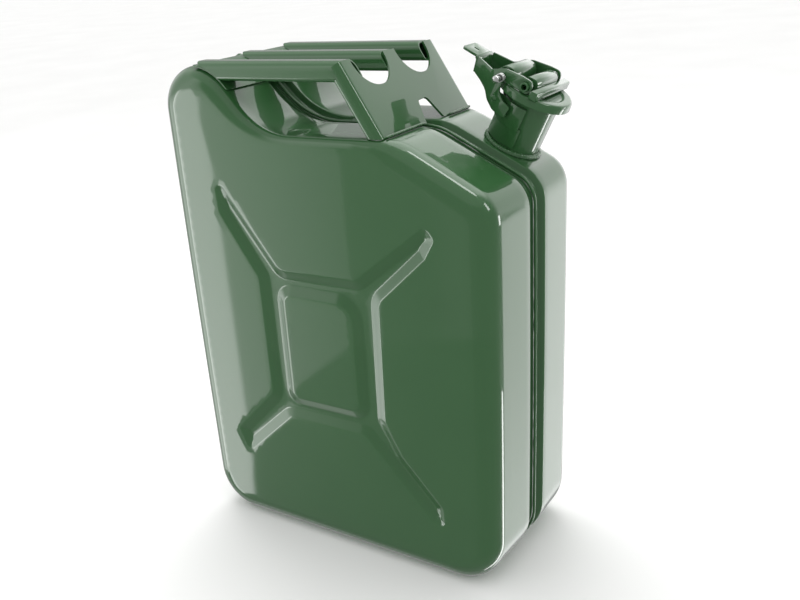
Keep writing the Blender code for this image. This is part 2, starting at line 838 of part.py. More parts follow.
def bar(middle):
    """A square tube of the handle with rounded edges, cut to the ramp behind and the plate ahead."""
    half = BAR_WIDTH / 2
    floor = HANDLE_TOP - BAR_HEIGHT
    corners = (
        (middle - half, floor, BAR_FOOT_RADIUS),
        (middle + half, floor, BAR_FOOT_RADIUS),
        (middle + half, HANDLE_TOP, BAR_TOP_RADIUS),
        (middle - half, HANDLE_TOP, BAR_TOP_RADIUS),
    )
    rear = ramp_end(2 * CLEARANCE + REAR_PLATE_SHEET)
    back = HANDLE_SHEET + CLEARANCE
    rings = []
    for inset, is_front in ((0, False), (0, True), (BAR_WALL, True), (BAR_WALL, False)):
        ring = []
        for y, z in rounded(inset_corners(corners, inset), BAR_STEP):
            rise = z - RECESS_HEIGHT
            front_x = PLATE_FOOT_X - back / LEAN_SIN - rise * LEAN_COS / LEAN_SIN
            ring.append((front_x if is_front else rear(z), y, z))
        rings.append(ring)
    return loft(rings, closed=True)


def foot_weld(low, high):
    """A rippled bead along the foot of the front plate, from one place in Y to another."""
    reach = CLEARANCE + FOOT_WELD_RADIUS
    x = PLATE_FOOT_X + reach * (1 - LEAN_COS) / LEAN_SIN
    z = RECESS_HEIGHT + reach
    count = 2 * FOOT_WELD_RIPPLES
    path = []
    radii = []
    for step in range(count + 1):
        share = step / count
        path.append((x, low + (high - low) * share, z))
        ripple = FOOT_WELD_RIPPLE_SHARE * (1 if step % 2 else -1)
        is_end = step in (0, count)
        radii.append(FOOT_WELD_RADIUS * (1 / 2 if is_end else 1 / (1 + abs(ripple)) * (1 + ripple)))
    return loft(swept(path, radii, FOOT_WELD_SIDES))


def build_handle():
    add_object("handle_front_plate", front_plate(), painted("handle_front_plate"))
    add_object("handle_rear_plate", rear_plate(), painted("handle_rear_plate"))
    outer = HANDLE_HALF_WIDTH - HANDLE_SHEET - CLEARANCE - BAR_WIDTH / 2
    for name, middle in (("near", -outer), ("middle", 0), ("far", outer)):
        add_object(name + "_handle_bar", bar(middle), painted(name + "_handle_bar"))
    arch_low = ARCH_OUTLINE_SHARES[0][0] * PLATE_HEIGHT
    arch_high = ARCH_OUTLINE_SHARES[1][0] * PLATE_HEIGHT
    edge = HANDLE_HALF_WIDTH - FLANGE_RADIUS
    near = foot_weld(-edge, arch_low - FOOT_WELD_RADIUS)
    far = foot_weld(arch_high + FOOT_WELD_RADIUS, edge)
    add_object("near_foot_weld", near, painted("near_foot_weld"))
    add_object("far_foot_weld", far, painted("far_foot_weld"))


# Neck

def neck_tube():
    """The neck with its rolled lip."""
    bore = NECK_RADIUS - NECK_WALL
    lip = LIP_RADIUS - NECK_RADIUS
    return turned(
        (
            (bore, -NECK_TAIL),
            (NECK_RADIUS, -NECK_TAIL),
            (NECK_RADIUS, NECK_RISE - LIP_DEPTH - lip),
            (LIP_RADIUS, NECK_RISE - LIP_DEPTH),
            (LIP_RADIUS, NECK_RISE - lip / 2),
            (LIP_RADIUS - lip / 2, NECK_RISE),
            (bore + lip / 2, NECK_RISE),
            (bore, NECK_RISE - lip / 2),
        ),
        NECK_SIDES,
    )


def neck_weld():
    """The bead round the foot of the neck."""
    inner = NECK_RADIUS + CLEARANCE
    size = NECK_WELD_SIZE
    foot = CLEARANCE - NECK_STAND
    return turned(
        (
            (inner, foot),
            (inner + size, foot),
            (inner + size * NECK_WELD_FULLNESS_SHARE, foot + size / 2),
            (inner + size / 2, foot + size * NECK_WELD_FULLNESS_SHARE),
            (inner, foot + size),
        ),
        NECK_SIDES,
    )


def breather_tube():
    """The air tube from just inside the mouth, under the recess, to the air space in the hump."""
    lateral = -(NECK_RADIUS - NECK_WALL - CLEARANCE - BREATHER_RADIUS)
    level = RECESS_HEIGHT - SHEET - BREATHER_DEPTH
    top = neck_frame(lateral, NECK_RISE - BREATHER_TOP_DROP, 0)
    bend = neck_frame(lateral, -BREATHER_DROP, 0)
    corners = (
        (top[0], top[2], 0),
        (bend[0], bend[2], BREATHER_BEND),
        (RECESS_END - BREATHER_BEND, level, BREATHER_BEND),
        (-RECESS_START, level, BREATHER_BEND),
        (-BREATHER_END_SHARE * BODY_WIDTH, HUMP_HEIGHT - BREATHER_END_DROP, 0),
    )
    path = [(x, NECK_Y, z) for x, z in rounded(corners, closed=False)]
    bore = BREATHER_RADIUS - BREATHER_WALL
    outer = swept(path, [BREATHER_RADIUS] * len(path), BREATHER_SIDES)
    inner = swept(path, [bore] * len(path), BREATHER_SIDES)
    return loft(outer + inner[::-1], closed=True)


def build_neck():
    add_object("neck_tube", neck_tube(), painted("neck_tube"))
    add_object("neck_base_weld", neck_weld(), painted("neck_base_weld"))
    add_object("breather_tube", breather_tube(), plated("breather_tube"))


# Hinge bracket

def arm_offset(lateral):
    """How far the middle of a lever arm stands from the middle of the neck, in Y."""
    places = [(share * LEVER_REACH, offset * CAP_RADIUS) for share, offset in ARM_OFFSET_SHARES]
    if lateral <= places[0][0]:
        return places[0][1]
    for (low, first), (high, second) in zip(places, places[1:]):
        if lateral <= high:
            return first + (second - first) * (lateral - low) / (high - low)
    return places[-1][1]


def ear_face():
    """The outer face of a bracket ear, in Y from the middle of the neck."""
    return arm_offset(PIVOT_LATERAL - EAR_RADIUS) - LEVER_SHEET / 2 - EAR_GAP / 3


def bracket_band(low, high, inner, outer, wrap):
    """A band of sheet round the back of the neck."""
    steps = BAND_STEPS
    section = []
    for radius, order in ((outer, range(steps + 1)), (inner, range(steps, -1, -1))):
        for step in order:
            angle = math.pi - wrap + 2 * wrap * step / steps
            section.append((radius * math.cos(angle), radius * math.sin(angle)))
    rings = []
    for rise in (low, high):
        rings.append([neck_frame(lateral, rise, across) for lateral, across in section])
    return loft(rings)


def bracket_ear(side):
    """An ear that stands back from the band and carries one hinge rivet."""
    foot = -EAR_RADIUS
    corners = (
        (PIVOT_LATERAL - EAR_RADIUS, PIVOT_RISE - EAR_RADIUS, EAR_RADIUS),
        (foot, EAR_FOOT_RISE - EAR_RADIUS, 0),
        (foot, BRACKET_TOP, 0),
        (PIVOT_LATERAL - EAR_RADIUS, PIVOT_RISE + EAR_RADIUS, EAR_RADIUS),
    )
    face = ear_face()
    low, high = sorted((side * (face - EAR_SHEET), side * face))
    return prism(rounded(corners), low, high, neck_frame)


def hinge_bracket():
    """The bracket: a tall band, thicker above the step, with two ears and their rivet holes."""
    inner = NECK_RADIUS + CLEARANCE
    outer = inner + BRACKET_SHEET
    foot = bracket_band(
        BRACKET_FOOT, BRACKET_STEP_RISE, inner - BRACKET_SHEET, outer, BRACKET_FOOT_WRAP
    )
    pad = bracket_band(
        BRACKET_STEP_RISE - BRACKET_SHEET,
        BRACKET_TOP,
        inner - BRACKET_SHEET / 2,
        outer + BRACKET_PAD,
        BRACKET_WRAP,
    )
    body = join(foot, pad, bracket_ear(-1), bracket_ear(1))
    wide = CAP_RADIUS
    hole = pin(PIVOT_LATERAL, PIVOT_RISE, PIVOT_RADIUS + CLEARANCE, -wide, wide)
    bore = turned(
        ((0, -OVERRUN), (inner, -OVERRUN), (inner, NECK_RISE), (0, NECK_RISE)), NECK_SIDES
    )
    return cut(body, hole, bore)


def hinge_rivet(side):
    """A short rivet through an ear and its lever arm, with its head inside the ear."""
    face = ear_face()
    head = face - EAR_SHEET - CLEARANCE
    end = arm_offset(PIVOT_LATERAL) + LEVER_SHEET
    shank = pin(PIVOT_LATERAL, PIVOT_RISE, PIVOT_RADIUS, *sorted((side * head, side * end)))
    low, high = sorted((side * (head - PIVOT_RADIUS / 2), side * head))
    return join(shank, pin(PIVOT_LATERAL, PIVOT_RISE, PIVOT_HEAD, low, high))


# Lever

def lever_arm(side):
    """One arm of the yoke: a flat outline, bent outwards where the arms spread."""
    corners = [(u * LEVER_REACH, v * LEVER_RISE, r * LEVER_RISE) for u, v, r in ARM_OUTLINE_SHARES]
    work = bmesh.new()
    face = work.faces.new([work.verts.new((u, v, 0)) for u, v in rounded(corners)])
    for share, _ in ARM_OFFSET_SHARES[1:-1]:
        bmesh.ops.bisect_plane(
            work,
            geom=work.verts[:] + work.edges[:] + work.faces[:],
            plane_co=(share * LEVER_REACH, 0, 0),
            plane_no=(1, 0, 0),
        )
    bmesh.ops.triangulate(work, faces=work.faces[:])
    low = [vertex.co.copy() for vertex in work.verts]
    work.verts.index_update()
    flat = [[vertex.index for vertex in face.verts] for face in work.faces]
    rim = [
        (edge.verts[0].index, edge.verts[1].index) for edge in work.edges if edge.is_boundary
    ]
    work.free()
    points = []
    for lift in (-LEVER_SHEET / 2, LEVER_SHEET / 2):
        for point in low:
            points.append(neck_frame(point.x, point.y, side * (arm_offset(point.x) + lift)))
    count = len(low)
    faces = flat + [[index + count for index in face] for face in flat]
    faces += [(a, b, b + count, a + count) for a, b in rim]
    return mesh_from(points, faces)


def lever_yoke():
    """The web that joins the arms, and the thumb tab folded off its top."""
    start = -LEVER_REACH
    top = LEVER_RISE
    line = rounded(
        (
            (start - TAB_REACH, top + TAB_LIFT, 0),
            (start, top, TAB_BEND),
            (start + LEVER_SHEET, top - WEB_DROP, 0),
        ),
        closed=False,
    )
    web = prism(
        bent_sheet(line, LEVER_SHEET),
        -arm_offset(start) - LEVER_SHEET / 2,
        arm_offset(start) + LEVER_SHEET / 2,
        neck_frame,
    )
    end = start - TAB_REACH
    wide = CAP_RADIUS
    sides = []
    for side in (-1, 1):
        corners = (
            (end - OVERRUN, side * wide, 0),
            (end - OVERRUN, 0, 0),
            (end, 0, 0),
            (end, side * TAB_HALF_WIDTH, TAB_CORNER),
            (start - LEVER_SHEET, side * TAB_HALF_WIDTH, 0),
            (start - LEVER_SHEET, side * wide, 0),
        )
        rings = []
        for rise in (top - OVERRUN, top + OVERRUN):
            rings.append([neck_frame(lateral, rise, across) for lateral, across in rounded(corners)])
        sides.append(loft(rings))
    middle = start - TAB_REACH * TAB_SLOT_SHARE
    half_length = TAB_SLOT_LENGTH / 2
    half_width = TAB_SLOT_WIDTH / 2
    slot = []
    for rise in (top - OVERRUN, top + OVERRUN):
        slot.append([
            neck_frame(middle + u * half_length, rise, v * half_width)
            for u, v in ((-1, -1), (1, -1), (1, 1), (-1, 1))
        ])
    return cut(web, sides[0], sides[1], loft(slot))


def lever():
    """The whole lever with its three pairs of holes."""
    body = join(lever_yoke(), lever_arm(-1), lever_arm(1))
    wide = CAP_RADIUS + OVERRUN
    return cut(
        body,
        pin(PIVOT_LATERAL, PIVOT_RISE, PIVOT_RADIUS + RUNNING_FIT, -wide, wide),
        pin(CROSS_PIN_LATERAL, CROSS_PIN_RISE, CROSS_PIN_RADIUS + CLEARANCE, -wide, wide),
        pin(LOCK_PIN_LATERAL, LOCK_PIN_RISE, LOCK_PIN_RADIUS + RUNNING_FIT, -wide, wide),
    )


# Cap and bridge

def cap():
    """The pressed cap: skirt, rounded edge, flat rim and shallow dish."""
    dish = CAP_TOP - CAP_DISH_DEPTH
    waist = CAP_RADIUS - CAP_SHEET / 2
    lead = CAP_DISH_RADIUS + CAP_EDGE
    return turned(
        (
            (RIVET_HOLE, dish),
            (CAP_DISH_RADIUS, dish),
            (lead, CAP_TOP),
            (CAP_TOP_RADIUS, CAP_TOP),
            (waist - CAP_EDGE / 3, CAP_TOP - CAP_EDGE / 3),
            (waist, CAP_TOP - CAP_EDGE),
            (CAP_RADIUS, CAP_RIM + CAP_SHEET),
            (CAP_RADIUS, CAP_RIM),
            (CAP_RADIUS - CAP_SHEET, CAP_RIM),
            (waist - CAP_SHEET, CAP_TOP - CAP_EDGE),
            (CAP_TOP_RADIUS - CAP_SHEET / 2, CAP_TOP - CAP_SHEET),
            (lead, CAP_TOP - CAP_SHEET),
            (CAP_DISH_RADIUS, dish - CAP_SHEET),
            (RIVET_HOLE, dish - CAP_SHEET),
        ),
        CAP_SIDES,
    )


def gasket_level():
    """Underside of the cap's dish, less the clearance."""
    return CAP_TOP - CAP_DISH_DEPTH - CAP_SHEET - CLEARANCE


def gasket():
    low = NECK_RISE + CLEARANCE
    high = gasket_level()
    return turned(
        ((GASKET_BORE, low), (GASKET_RADIUS, low), (GASKET_RADIUS, high), (GASKET_BORE, high)),
        NECK_SIDES,
    )


def gasket_retainer():
    high = NECK_RISE
    low = high - RETAINER_SHEET
    return turned(
        ((RIVET_HOLE, low), (RETAINER_RADIUS, low), (RETAINER_RADIUS, high), (RIVET_HOLE, high)),
        NECK_SIDES,
    )


def cap_rivet():
    """The rivet that holds retainer, gasket and cap together."""
    low = NECK_RISE - RETAINER_SHEET - CLEARANCE
    high = CAP_TOP - CAP_DISH_DEPTH + CLEARANCE
    return turned(
        (
            (0, low - RIVET_HEAD_HEIGHT),
            (RIVET_HEAD - RIVET_HEAD_HEIGHT, low - RIVET_HEAD_HEIGHT),
            (RIVET_HEAD, low),
            (RIVET_SHANK, low),
            (RIVET_SHANK, high),
            (RIVET_HEAD, high),
            (RIVET_HEAD - RIVET_HEAD_HEIGHT / 2, high + RIVET_HEAD_HEIGHT),
            (0, high + RIVET_HEAD_HEIGHT),
        ),
        RIVET_SIDES,
    )


def cap_bridge():
    """The bent bridge over the cap: a dome over the locking pin, then a barrel round the cross pin."""
    seat = CAP_TOP + CLEARANCE + BRIDGE_SHEET / 2
    dome_low = LOCK_PIN_LATERAL - BRIDGE_DOME_RADIUS
    dome_high = LOCK_PIN_LATERAL + BRIDGE_DOME_RADIUS
    dome_top = LOCK_PIN_RISE + BRIDGE_DOME_RADIUS
    barrel = CROSS_EYE_RADIUS - BRIDGE_SHEET / 2
    barrel_low = CROSS_PIN_LATERAL - barrel
    barrel_high = CROSS_PIN_LATERAL + barrel
    barrel_top = CROSS_PIN_RISE + barrel
    line = rounded(
        (
            (dome_low, seat - BRIDGE_SHEET / 2, 0),
            (dome_low, dome_top, BRIDGE_DOME_RADIUS * DOME_ROUND_SHARE),
            (dome_high, dome_top, BRIDGE_DOME_RADIUS * DOME_ROUND_SHARE),
            (dome_high + BRIDGE_SHEET, seat, BRIDGE_SHEET),
            (barrel_low - BRIDGE_SHEET, seat, BRIDGE_SHEET),
            (barrel_low, barrel_top, barrel * BARREL_ROUND_SHARE),
            (barrel_high, barrel_top, barrel * BARREL_ROUND_SHARE),
            (barrel_high + BRIDGE_SHEET, CROSS_PIN_RISE - barrel / 2, BRIDGE_BEND),
            (BRIDGE_FRONT, seat, 0),
        ),
        closed=False,
    )
    wide = BRIDGE_HALF_WIDTH
    sheet = prism(bent_sheet(line, BRIDGE_SHEET), -wide, wide, neck_frame)
    ring = pin(CROSS_PIN_LATERAL, CROSS_PIN_RISE, CROSS_EYE_RADIUS, -wide, wide)
    reach = CAP_RADIUS + LUG_REACH
    low = LUG_BAR_LATERAL - LUG_BAR_WIDTH / 2
    high = LUG_BAR_LATERAL + LUG_BAR_WIDTH / 2
    foot = CAP_TOP + CLEARANCE
    lugs = prism(
        rounded((
            (low, foot, 0),
            (high, foot, 0),
            (high, foot + LUG_BAR_HEIGHT, LUG_BAR_ROUND),
            (low, foot + LUG_BAR_HEIGHT, LUG_BAR_ROUND),
        )),
        -reach,
        reach,
        neck_frame,
    )
    body = join(sheet, ring, lugs)
    long = wide + OVERRUN
    bore = pin(CROSS_PIN_LATERAL, CROSS_PIN_RISE, CROSS_PIN_RADIUS + CLEARANCE, -long, long)
    return cut(body, bore)


def cross_pin():
    """The hollow pin that hangs the cap in the lever."""
    reach = arm_offset(CROSS_PIN_LATERAL) + LEVER_SHEET / 2 + CROSS_PIN_REACH
    rod = pin(CROSS_PIN_LATERAL, CROSS_PIN_RISE, CROSS_PIN_RADIUS, -reach, reach)
    long = reach + OVERRUN
    bore = pin(CROSS_PIN_LATERAL, CROSS_PIN_RISE, CROSS_PIN_BORE, -long, long, BORE_SIDES)
    return cut(rod, bore)


def arm_outside(lateral):
    """The outer face of a lever arm at its furthest, near a pin of the given place."""
    return arm_offset(lateral + SPRING_RADIUS + SPRING_WIRE) + LEVER_SHEET / 2


def spring_length():
    return SPRING_PITCH * SPRING_TURNS + 2 * SPRING_WIRE


def locking_pin():
    """The spring pin with a round head at the near end."""
    near = arm_outside(LOCK_PIN_LATERAL)
    neck = near + CLEARANCE + spring_length() + LOCK_PIN_TRAVEL + CLEARANCE
    end = near + LOCK_PIN_RADIUS
    rod = pin(LOCK_PIN_LATERAL, LOCK_PIN_RISE, LOCK_PIN_RADIUS, -neck - LEVER_SHEET, end)
    rings = []
    for share, fullness in LOCK_PIN_HEAD_SHARES:
        radius = LOCK_PIN_HEAD * fullness
        across = -neck - LOCK_PIN_HEAD_LENGTH * share
        ring = []
        for side in range(BORE_SIDES):
            angle = 2 * math.pi * side / BORE_SIDES
            ring.append(neck_frame(
                LOCK_PIN_LATERAL + radius * math.cos(angle),
                LOCK_PIN_RISE + radius * math.sin(angle),
                across,
            ))
        rings.append(ring)
    return join(rod, loft(rings))


def locking_pin_spring():
    """The coil between the near arm and the pin's head, one unbroken wire."""
    start = -arm_outside(LOCK_PIN_LATERAL) - CLEARANCE - SPRING_WIRE
    count = SPRING_TURNS * SPRING_STEPS
    path = []
    for step in range(count + 1):
        angle = 2 * math.pi * step / SPRING_STEPS
        path.append(neck_frame(
            LOCK_PIN_LATERAL + SPRING_RADIUS * math.cos(angle),
            LOCK_PIN_RISE + SPRING_RADIUS * math.sin(angle),
            start - SPRING_PITCH * step / SPRING_STEPS,
        ))
    print("least gap between turns, metres:", SPRING_PITCH - 2 * SPRING_WIRE)
    return loft(swept(path, [SPRING_WIRE] * len(path), SPRING_SIDES))


def build_closure():
    """The bracket on the neck, and everything that swings with the lever."""
    origin = neck_frame(PIVOT_LATERAL, PIVOT_RISE, 0)
    add_object("hinge_bracket", hinge_bracket(), painted("hinge_bracket"))
    add_object("near_hinge_rivet", hinge_rivet(-1), painted("near_hinge_rivet"))
    add_object("far_hinge_rivet", hinge_rivet(1), painted("far_hinge_rivet"))
    hinge = bpy.data.objects.new("closure_hinge", None)
    bpy.context.collection.objects.link(hinge)
    hinge.location = grounded(origin)
    rubber = paint("gasket_rubber", RUBBER_COLOUR, 0.6, 0.0)
    swinging = (
        ("lever", lever, painted("lever")),
        ("cross_pin", cross_pin, painted("cross_pin")),
        ("cap_bridge", cap_bridge, painted("cap_bridge")),
        ("cap", cap, painted("cap")),
        ("gasket", gasket, rubber),
        ("gasket_retainer", gasket_retainer, plated("gasket_retainer")),
        ("cap_rivet", cap_rivet, plated("cap_rivet")),
        ("locking_pin_spring", locking_pin_spring, plated("locking_pin_spring")),
    )
    for name, make, material in swinging:
        add_object(name, make(), material, origin, hinge)
    lock = neck_frame(LOCK_PIN_LATERAL, LOCK_PIN_RISE, 0)
    add_object("locking_pin", locking_pin(), plated("locking_pin"), lock, hinge)


def main():
    clear_scene()
    build_body()
    build_handle()
    build_neck()
    build_closure()


main()
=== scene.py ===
"""Looks of a pressed steel fuel can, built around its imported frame.

Metres, +Z up. The origin lies on the ground under the middle of the whole can, so the middle of the
body lies a little to the left of it. The pieces that show are surfaces worked out with numpy, and a
few flat sheet parts are copies of the frame's own meshes with their edges rounded off.
"""

import logging
import math
from collections.abc import Iterator, Sequence
from contextlib import contextmanager
from dataclasses import dataclass, field
from enum import Enum

import bmesh
import bpy
import numpy as np
from mathutils import Matrix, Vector
from mathutils.geometry import delaunay_2d_cdt

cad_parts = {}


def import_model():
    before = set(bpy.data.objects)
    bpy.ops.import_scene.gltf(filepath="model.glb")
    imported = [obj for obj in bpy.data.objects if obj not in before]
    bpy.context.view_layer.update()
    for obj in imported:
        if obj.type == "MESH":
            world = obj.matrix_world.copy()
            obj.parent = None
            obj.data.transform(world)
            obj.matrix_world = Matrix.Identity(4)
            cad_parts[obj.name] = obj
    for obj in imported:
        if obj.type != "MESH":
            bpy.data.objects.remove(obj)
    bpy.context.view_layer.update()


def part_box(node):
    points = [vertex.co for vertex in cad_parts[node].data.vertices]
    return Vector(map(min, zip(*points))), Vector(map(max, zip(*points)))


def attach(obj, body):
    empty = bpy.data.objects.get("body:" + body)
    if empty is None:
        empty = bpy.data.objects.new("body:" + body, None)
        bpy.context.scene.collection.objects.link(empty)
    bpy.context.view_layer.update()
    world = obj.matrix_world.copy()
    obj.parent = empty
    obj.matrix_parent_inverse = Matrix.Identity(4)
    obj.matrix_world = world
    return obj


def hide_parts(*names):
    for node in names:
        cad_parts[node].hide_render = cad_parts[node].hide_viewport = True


logging.basicConfig(level=logging.INFO, format="%(message)s")
log = logging.getLogger("fuel_can")

Array = np.ndarray
Spot = tuple[float, float, float]
Corner = tuple[float, float, float]
Screen = tuple[float, float]
MM = 0.001
MATH, RANGE, MIX, NOISE = "ShaderNodeMath", "ShaderNodeMapRange", "ShaderNodeMix", "ShaderNodeTexNoise"
# A mix node's colour sockets share their names with its number ones, so they go by their places.
FIRST_COLOUR, SECOND_COLOUR, MIXED_COLOUR = 6, 7, 2
FIRST_ROW, LAST_ROW = 0, -1
ENDS = (FIRST_ROW, LAST_ROW)


class Body(Enum):
    """The moving groups of the frame."""

    CAN = "can"
    CLOSURE = "closure"
    PIN = "locking_pin"


class Slot(Enum):
    """The material slots of the record."""

    PAINT = "green_paint"
    ZINC = "zinc"
    RUBBER = "rubber"


# Shader helpers


def linear(code: str) -> tuple[float, float, float, float]:
    """Turn a screen colour into the linear one that shaders use.

    Args:
        code: a screen colour such as "#1e4a23".

    Returns:
        Linear red, green and blue, and 1 for opaque.
    """
    screen = np.array([int(code[place : place + 2], 16) for place in (1, 3, 5)]) / 255
    steps = np.where(screen <= 0.04045, screen / 12.92, ((screen + 0.055) / 1.055) ** 2.4)
    return (float(steps[0]), float(steps[1]), float(steps[2]), 1.0)


def add_node(
    tree: bpy.types.NodeTree, kind: str, inputs: dict[str | int, object] | None = None, **settings: object
) -> bpy.types.Node:
    """Add a node, set its options, and give its inputs a value or a link.

    Args:
        tree: the tree that gets the node.
        kind: Blender's name for the node type.
        inputs: value or output socket for each input, by name or place.
        settings: the node's own options.

    Returns:
        The new node.
    """
    node = tree.nodes.new(kind)
    for key, value in settings.items():
        setattr(node, key, value)
    for key, value in (inputs or {}).items():
        if isinstance(value, bpy.types.NodeSocket):
            tree.links.new(value, node.inputs[key])
        else:
            node.inputs[key].default_value = value
    return node


# Finishes


@dataclass(frozen=True)
class Finish:
    """A surface whose colour drifts between two close ones in patches, with a fine relief over it.

    The patches change the roughness too, where its two values differ. Patches are the scale, detail
    and roughness of a noise, and the relief is the scale and detail of another. A scale is in
    repeats a metre, and a relief without height is left out.
    """

    name: str
    slot: Slot | None
    colours: tuple[str, str]
    patches: tuple[float, float, float]
    roughness: tuple[float, float]
    relief: tuple[float, float] = (1.0, 0.0)
    relief_strength: float = 1.0
    relief_height: float = 0.0
    metallic: float = 0.0
    specular: float = 0.5
    coat: float = 0.0
    gloss: float = 0.03

    def material(self) -> bpy.types.Material:
        """Build the material from noises on the piece's own coordinates.

        Returns:
            The material, with one surface shader.
        """
        material = bpy.data.materials.new(self.name)
        material.use_nodes = True
        tree = material.node_tree
        tree.nodes.clear()
        spot = add_node(tree, "ShaderNodeTexCoord").outputs["Object"]
        scale, detail, rough = self.patches
        drift = {"Vector": spot, "Scale": scale, "Detail": detail, "Roughness": rough}
        patches = add_node(tree, NOISE, drift).outputs["Fac"]
        first, second = (linear(colour) for colour in self.colours)
        mix = {"Factor": patches, FIRST_COLOUR: first, SECOND_COLOUR: second}
        sockets = {
            "Base Color": add_node(tree, MIX, mix, data_type="RGBA").outputs[MIXED_COLOUR],
            "Metallic": self.metallic,
            "Specular IOR Level": self.specular,
            "Coat Weight": self.coat,
            "Coat Roughness": self.gloss,
        }
        low, high = self.roughness
        sockets["Roughness"] = low
        if high > low:
            spread = {"Value": patches, "To Min": low, "To Max": high}
            sockets["Roughness"] = add_node(tree, RANGE, spread).outputs["Result"]
        if self.relief_height:
            grain = {"Vector": spot, "Scale": self.relief[0], "Detail": self.relief[1]}
            height = add_node(tree, NOISE, grain).outputs["Fac"]
            lift = {"Height": height, "Strength": self.relief_strength, "Distance": self.relief_height}
            sockets["Normal"] = add_node(tree, "ShaderNodeBump", lift).outputs["Normal"]
        if self.relief_height and self.coat:
            sockets["Coat Normal"] = sockets["Normal"]
        shader = add_node(tree, "ShaderNodeBsdfPrincipled", sockets)
        add_node(tree, "ShaderNodeOutputMaterial", {"Surface": shader.outputs["BSDF"]})
        return material


@dataclass(frozen=True)
class GreenPaint(Finish):
    """Deep green gloss enamel, sprayed and baked on pressed steel.

    The enamel has a clear, hard top that mirrors its surroundings, a faint orange peel from
    spraying, and very slight differences in depth of colour where the coat is thicker.
    """

    name: str = "gloss_green_sheet"
    slot: Slot | None = Slot.PAINT
    colours: tuple[str, str] = ("#2a522d", "#2d562f")
    patches: tuple[float, float, float] = (14.0, 3.0, 0.55)
    roughness: tuple[float, float] = (0.30, 0.40)
    relief: tuple[float, float] = (520.0, 1.5)
    relief_height: float = 0.0018 * MM
    specular: float = 0.12
    coat: float = 1.0
    gloss: float = 0.035


@dataclass(frozen=True)
class ZincPlate(Finish):
    """Bright zinc plating on small steel parts: pale metal, slightly cloudy, finely scratched."""

    name: str = "bright_zinc"
    slot: Slot | None = Slot.ZINC
    colours: tuple[str, str] = ("#d9dbd8", "#b9bcba")
    patches: tuple[float, float, float] = (260.0, 4.0, 0.5)
    roughness: tuple[float, float] = (0.16, 0.32)
    relief: tuple[float, float] = (2400.0, 2.0)
    relief_strength: float = 0.6
    relief_height: float = 0.01 * MM
    metallic: float = 1.0


@dataclass(frozen=True)
class SealRubber(Finish):
    """Fuel proof black rubber of the cap's seal: matt, with a moulded grain and a paler bloom."""

    name: str = "seal_rubber"
    slot: Slot | None = Slot.RUBBER
    colours: tuple[str, str] = ("#191919", "#242423")
    patches: tuple[float, float, float] = (90.0, 4.0, 0.5)
    roughness: tuple[float, float] = (0.62, 0.62)
    relief: tuple[float, float] = (1800.0, 2.0)
    relief_strength: float = 0.7
    relief_height: float = 0.03 * MM


@dataclass(frozen=True)
class StudioPaper(Finish):
    """Pale seamless studio paper, matt, with a very slight mottle."""

    name: str = "studio_paper"
    slot: Slot | None = None
    colours: tuple[str, str] = ("#f9f9f8", "#f0f0ef")
    patches: tuple[float, float, float] = (3.0, 2.0, 0.5)
    roughness: tuple[float, float] = (0.9, 0.9)
    specular: float = 0.1


SHEET_PAINT = GreenPaint()
# Small fittings show a finer peel, and paint over a weld lies lumpy and a little duller.
FITTING_PAINT = GreenPaint("gloss_green_fitting", relief=(800.0, 1.5))
WELD_PAINT = GreenPaint("gloss_green_weld", relief=(420.0, 1.5), relief_height=0.12 * MM, gloss=0.06)
ZINC = ZincPlate()
RUBBER = SealRubber()


# Surfaces


def rounded_path(
    corners: Sequence[Corner], step_deg: float, spacing: float = 1.0, closed: bool = True
) -> tuple[Array, Array]:
    """Walk along straight lines joined by arcs.

    Each corner of radius r whose line turns by an angle a starts its arc r tan(a / 2) before the
    corner. An arc point is the centre plus r times a unit vector that turns evenly.

    Args:
        corners: (u, v, radius) of each corner.
        step_deg: largest turn between two points of an arc.
        spacing: largest distance between two points of a straight line.
        closed: whether the last corner joins the first.

    Returns:
        The points, and at each the unit normal to the right of the way walked.
    """
    count = len(corners)
    points: list[Array] = []
    normals: list[Array] = []
    for index, corner in enumerate(corners):
        here = np.array(corner[:2])
        before = np.array(corners[index - 1][:2])
        after = np.array(corners[(index + 1) % count][:2])
        is_start = not closed and index == 0
        is_end = not closed and index == count - 1
        way_out = after - here if not is_end else here - before
        way_in = here - before if not is_start else way_out
        way_in = way_in / np.linalg.norm(way_in)
        way_out = way_out / np.linalg.norm(way_out)
        turn = math.atan2(way_in[0] * way_out[1] - way_in[1] * way_out[0], float(way_in @ way_out))
        radius = corner[2]
        if radius and not (is_start or is_end) and abs(turn) > 1e-6:
            side = math.copysign(1.0, turn)
            start = here - way_in * radius * math.tan(abs(turn) / 2)
            centre = start + side * radius * np.array([-way_in[1], way_in[0]])
            pieces = max(2, math.ceil(abs(turn) / math.radians(step_deg)))
            swing = turn * np.linspace(0, 1, pieces + 1)
            arm = start - centre
            cos, sin = np.cos(swing), np.sin(swing)
            arc = centre + np.stack([arm[0] * cos - arm[1] * sin, arm[0] * sin + arm[1] * cos], axis=1)
            points.append(arc)
            normals.append((arc - centre) * side / radius)
        else:
            middle = way_in + way_out
            middle = middle / np.linalg.norm(middle)
            points.append(here[None])
            normals.append(np.array([[middle[1], -middle[0]]]))
    filled: list[Array] = []
    filled_normals: list[Array] = []
    for index in range(count):
        filled.append(points[index])
        filled_normals.append(normals[index])
        start = points[index][-1]
        end = points[(index + 1) % count][0]
        gap = float(np.linalg.norm(end - start))
        pieces = math.ceil(gap / spacing)
        if pieces > 1 and (closed or index < count - 1):
            shares = np.arange(1, pieces)[:, None] / pieces
            filled.append(start + (end - start) * shares)
            way = (end - start) / gap
            filled_normals.append(np.repeat([[way[1], -way[0]]], pieces - 1, axis=0))
    return np.concatenate(filled), np.concatenate(filled_normals)


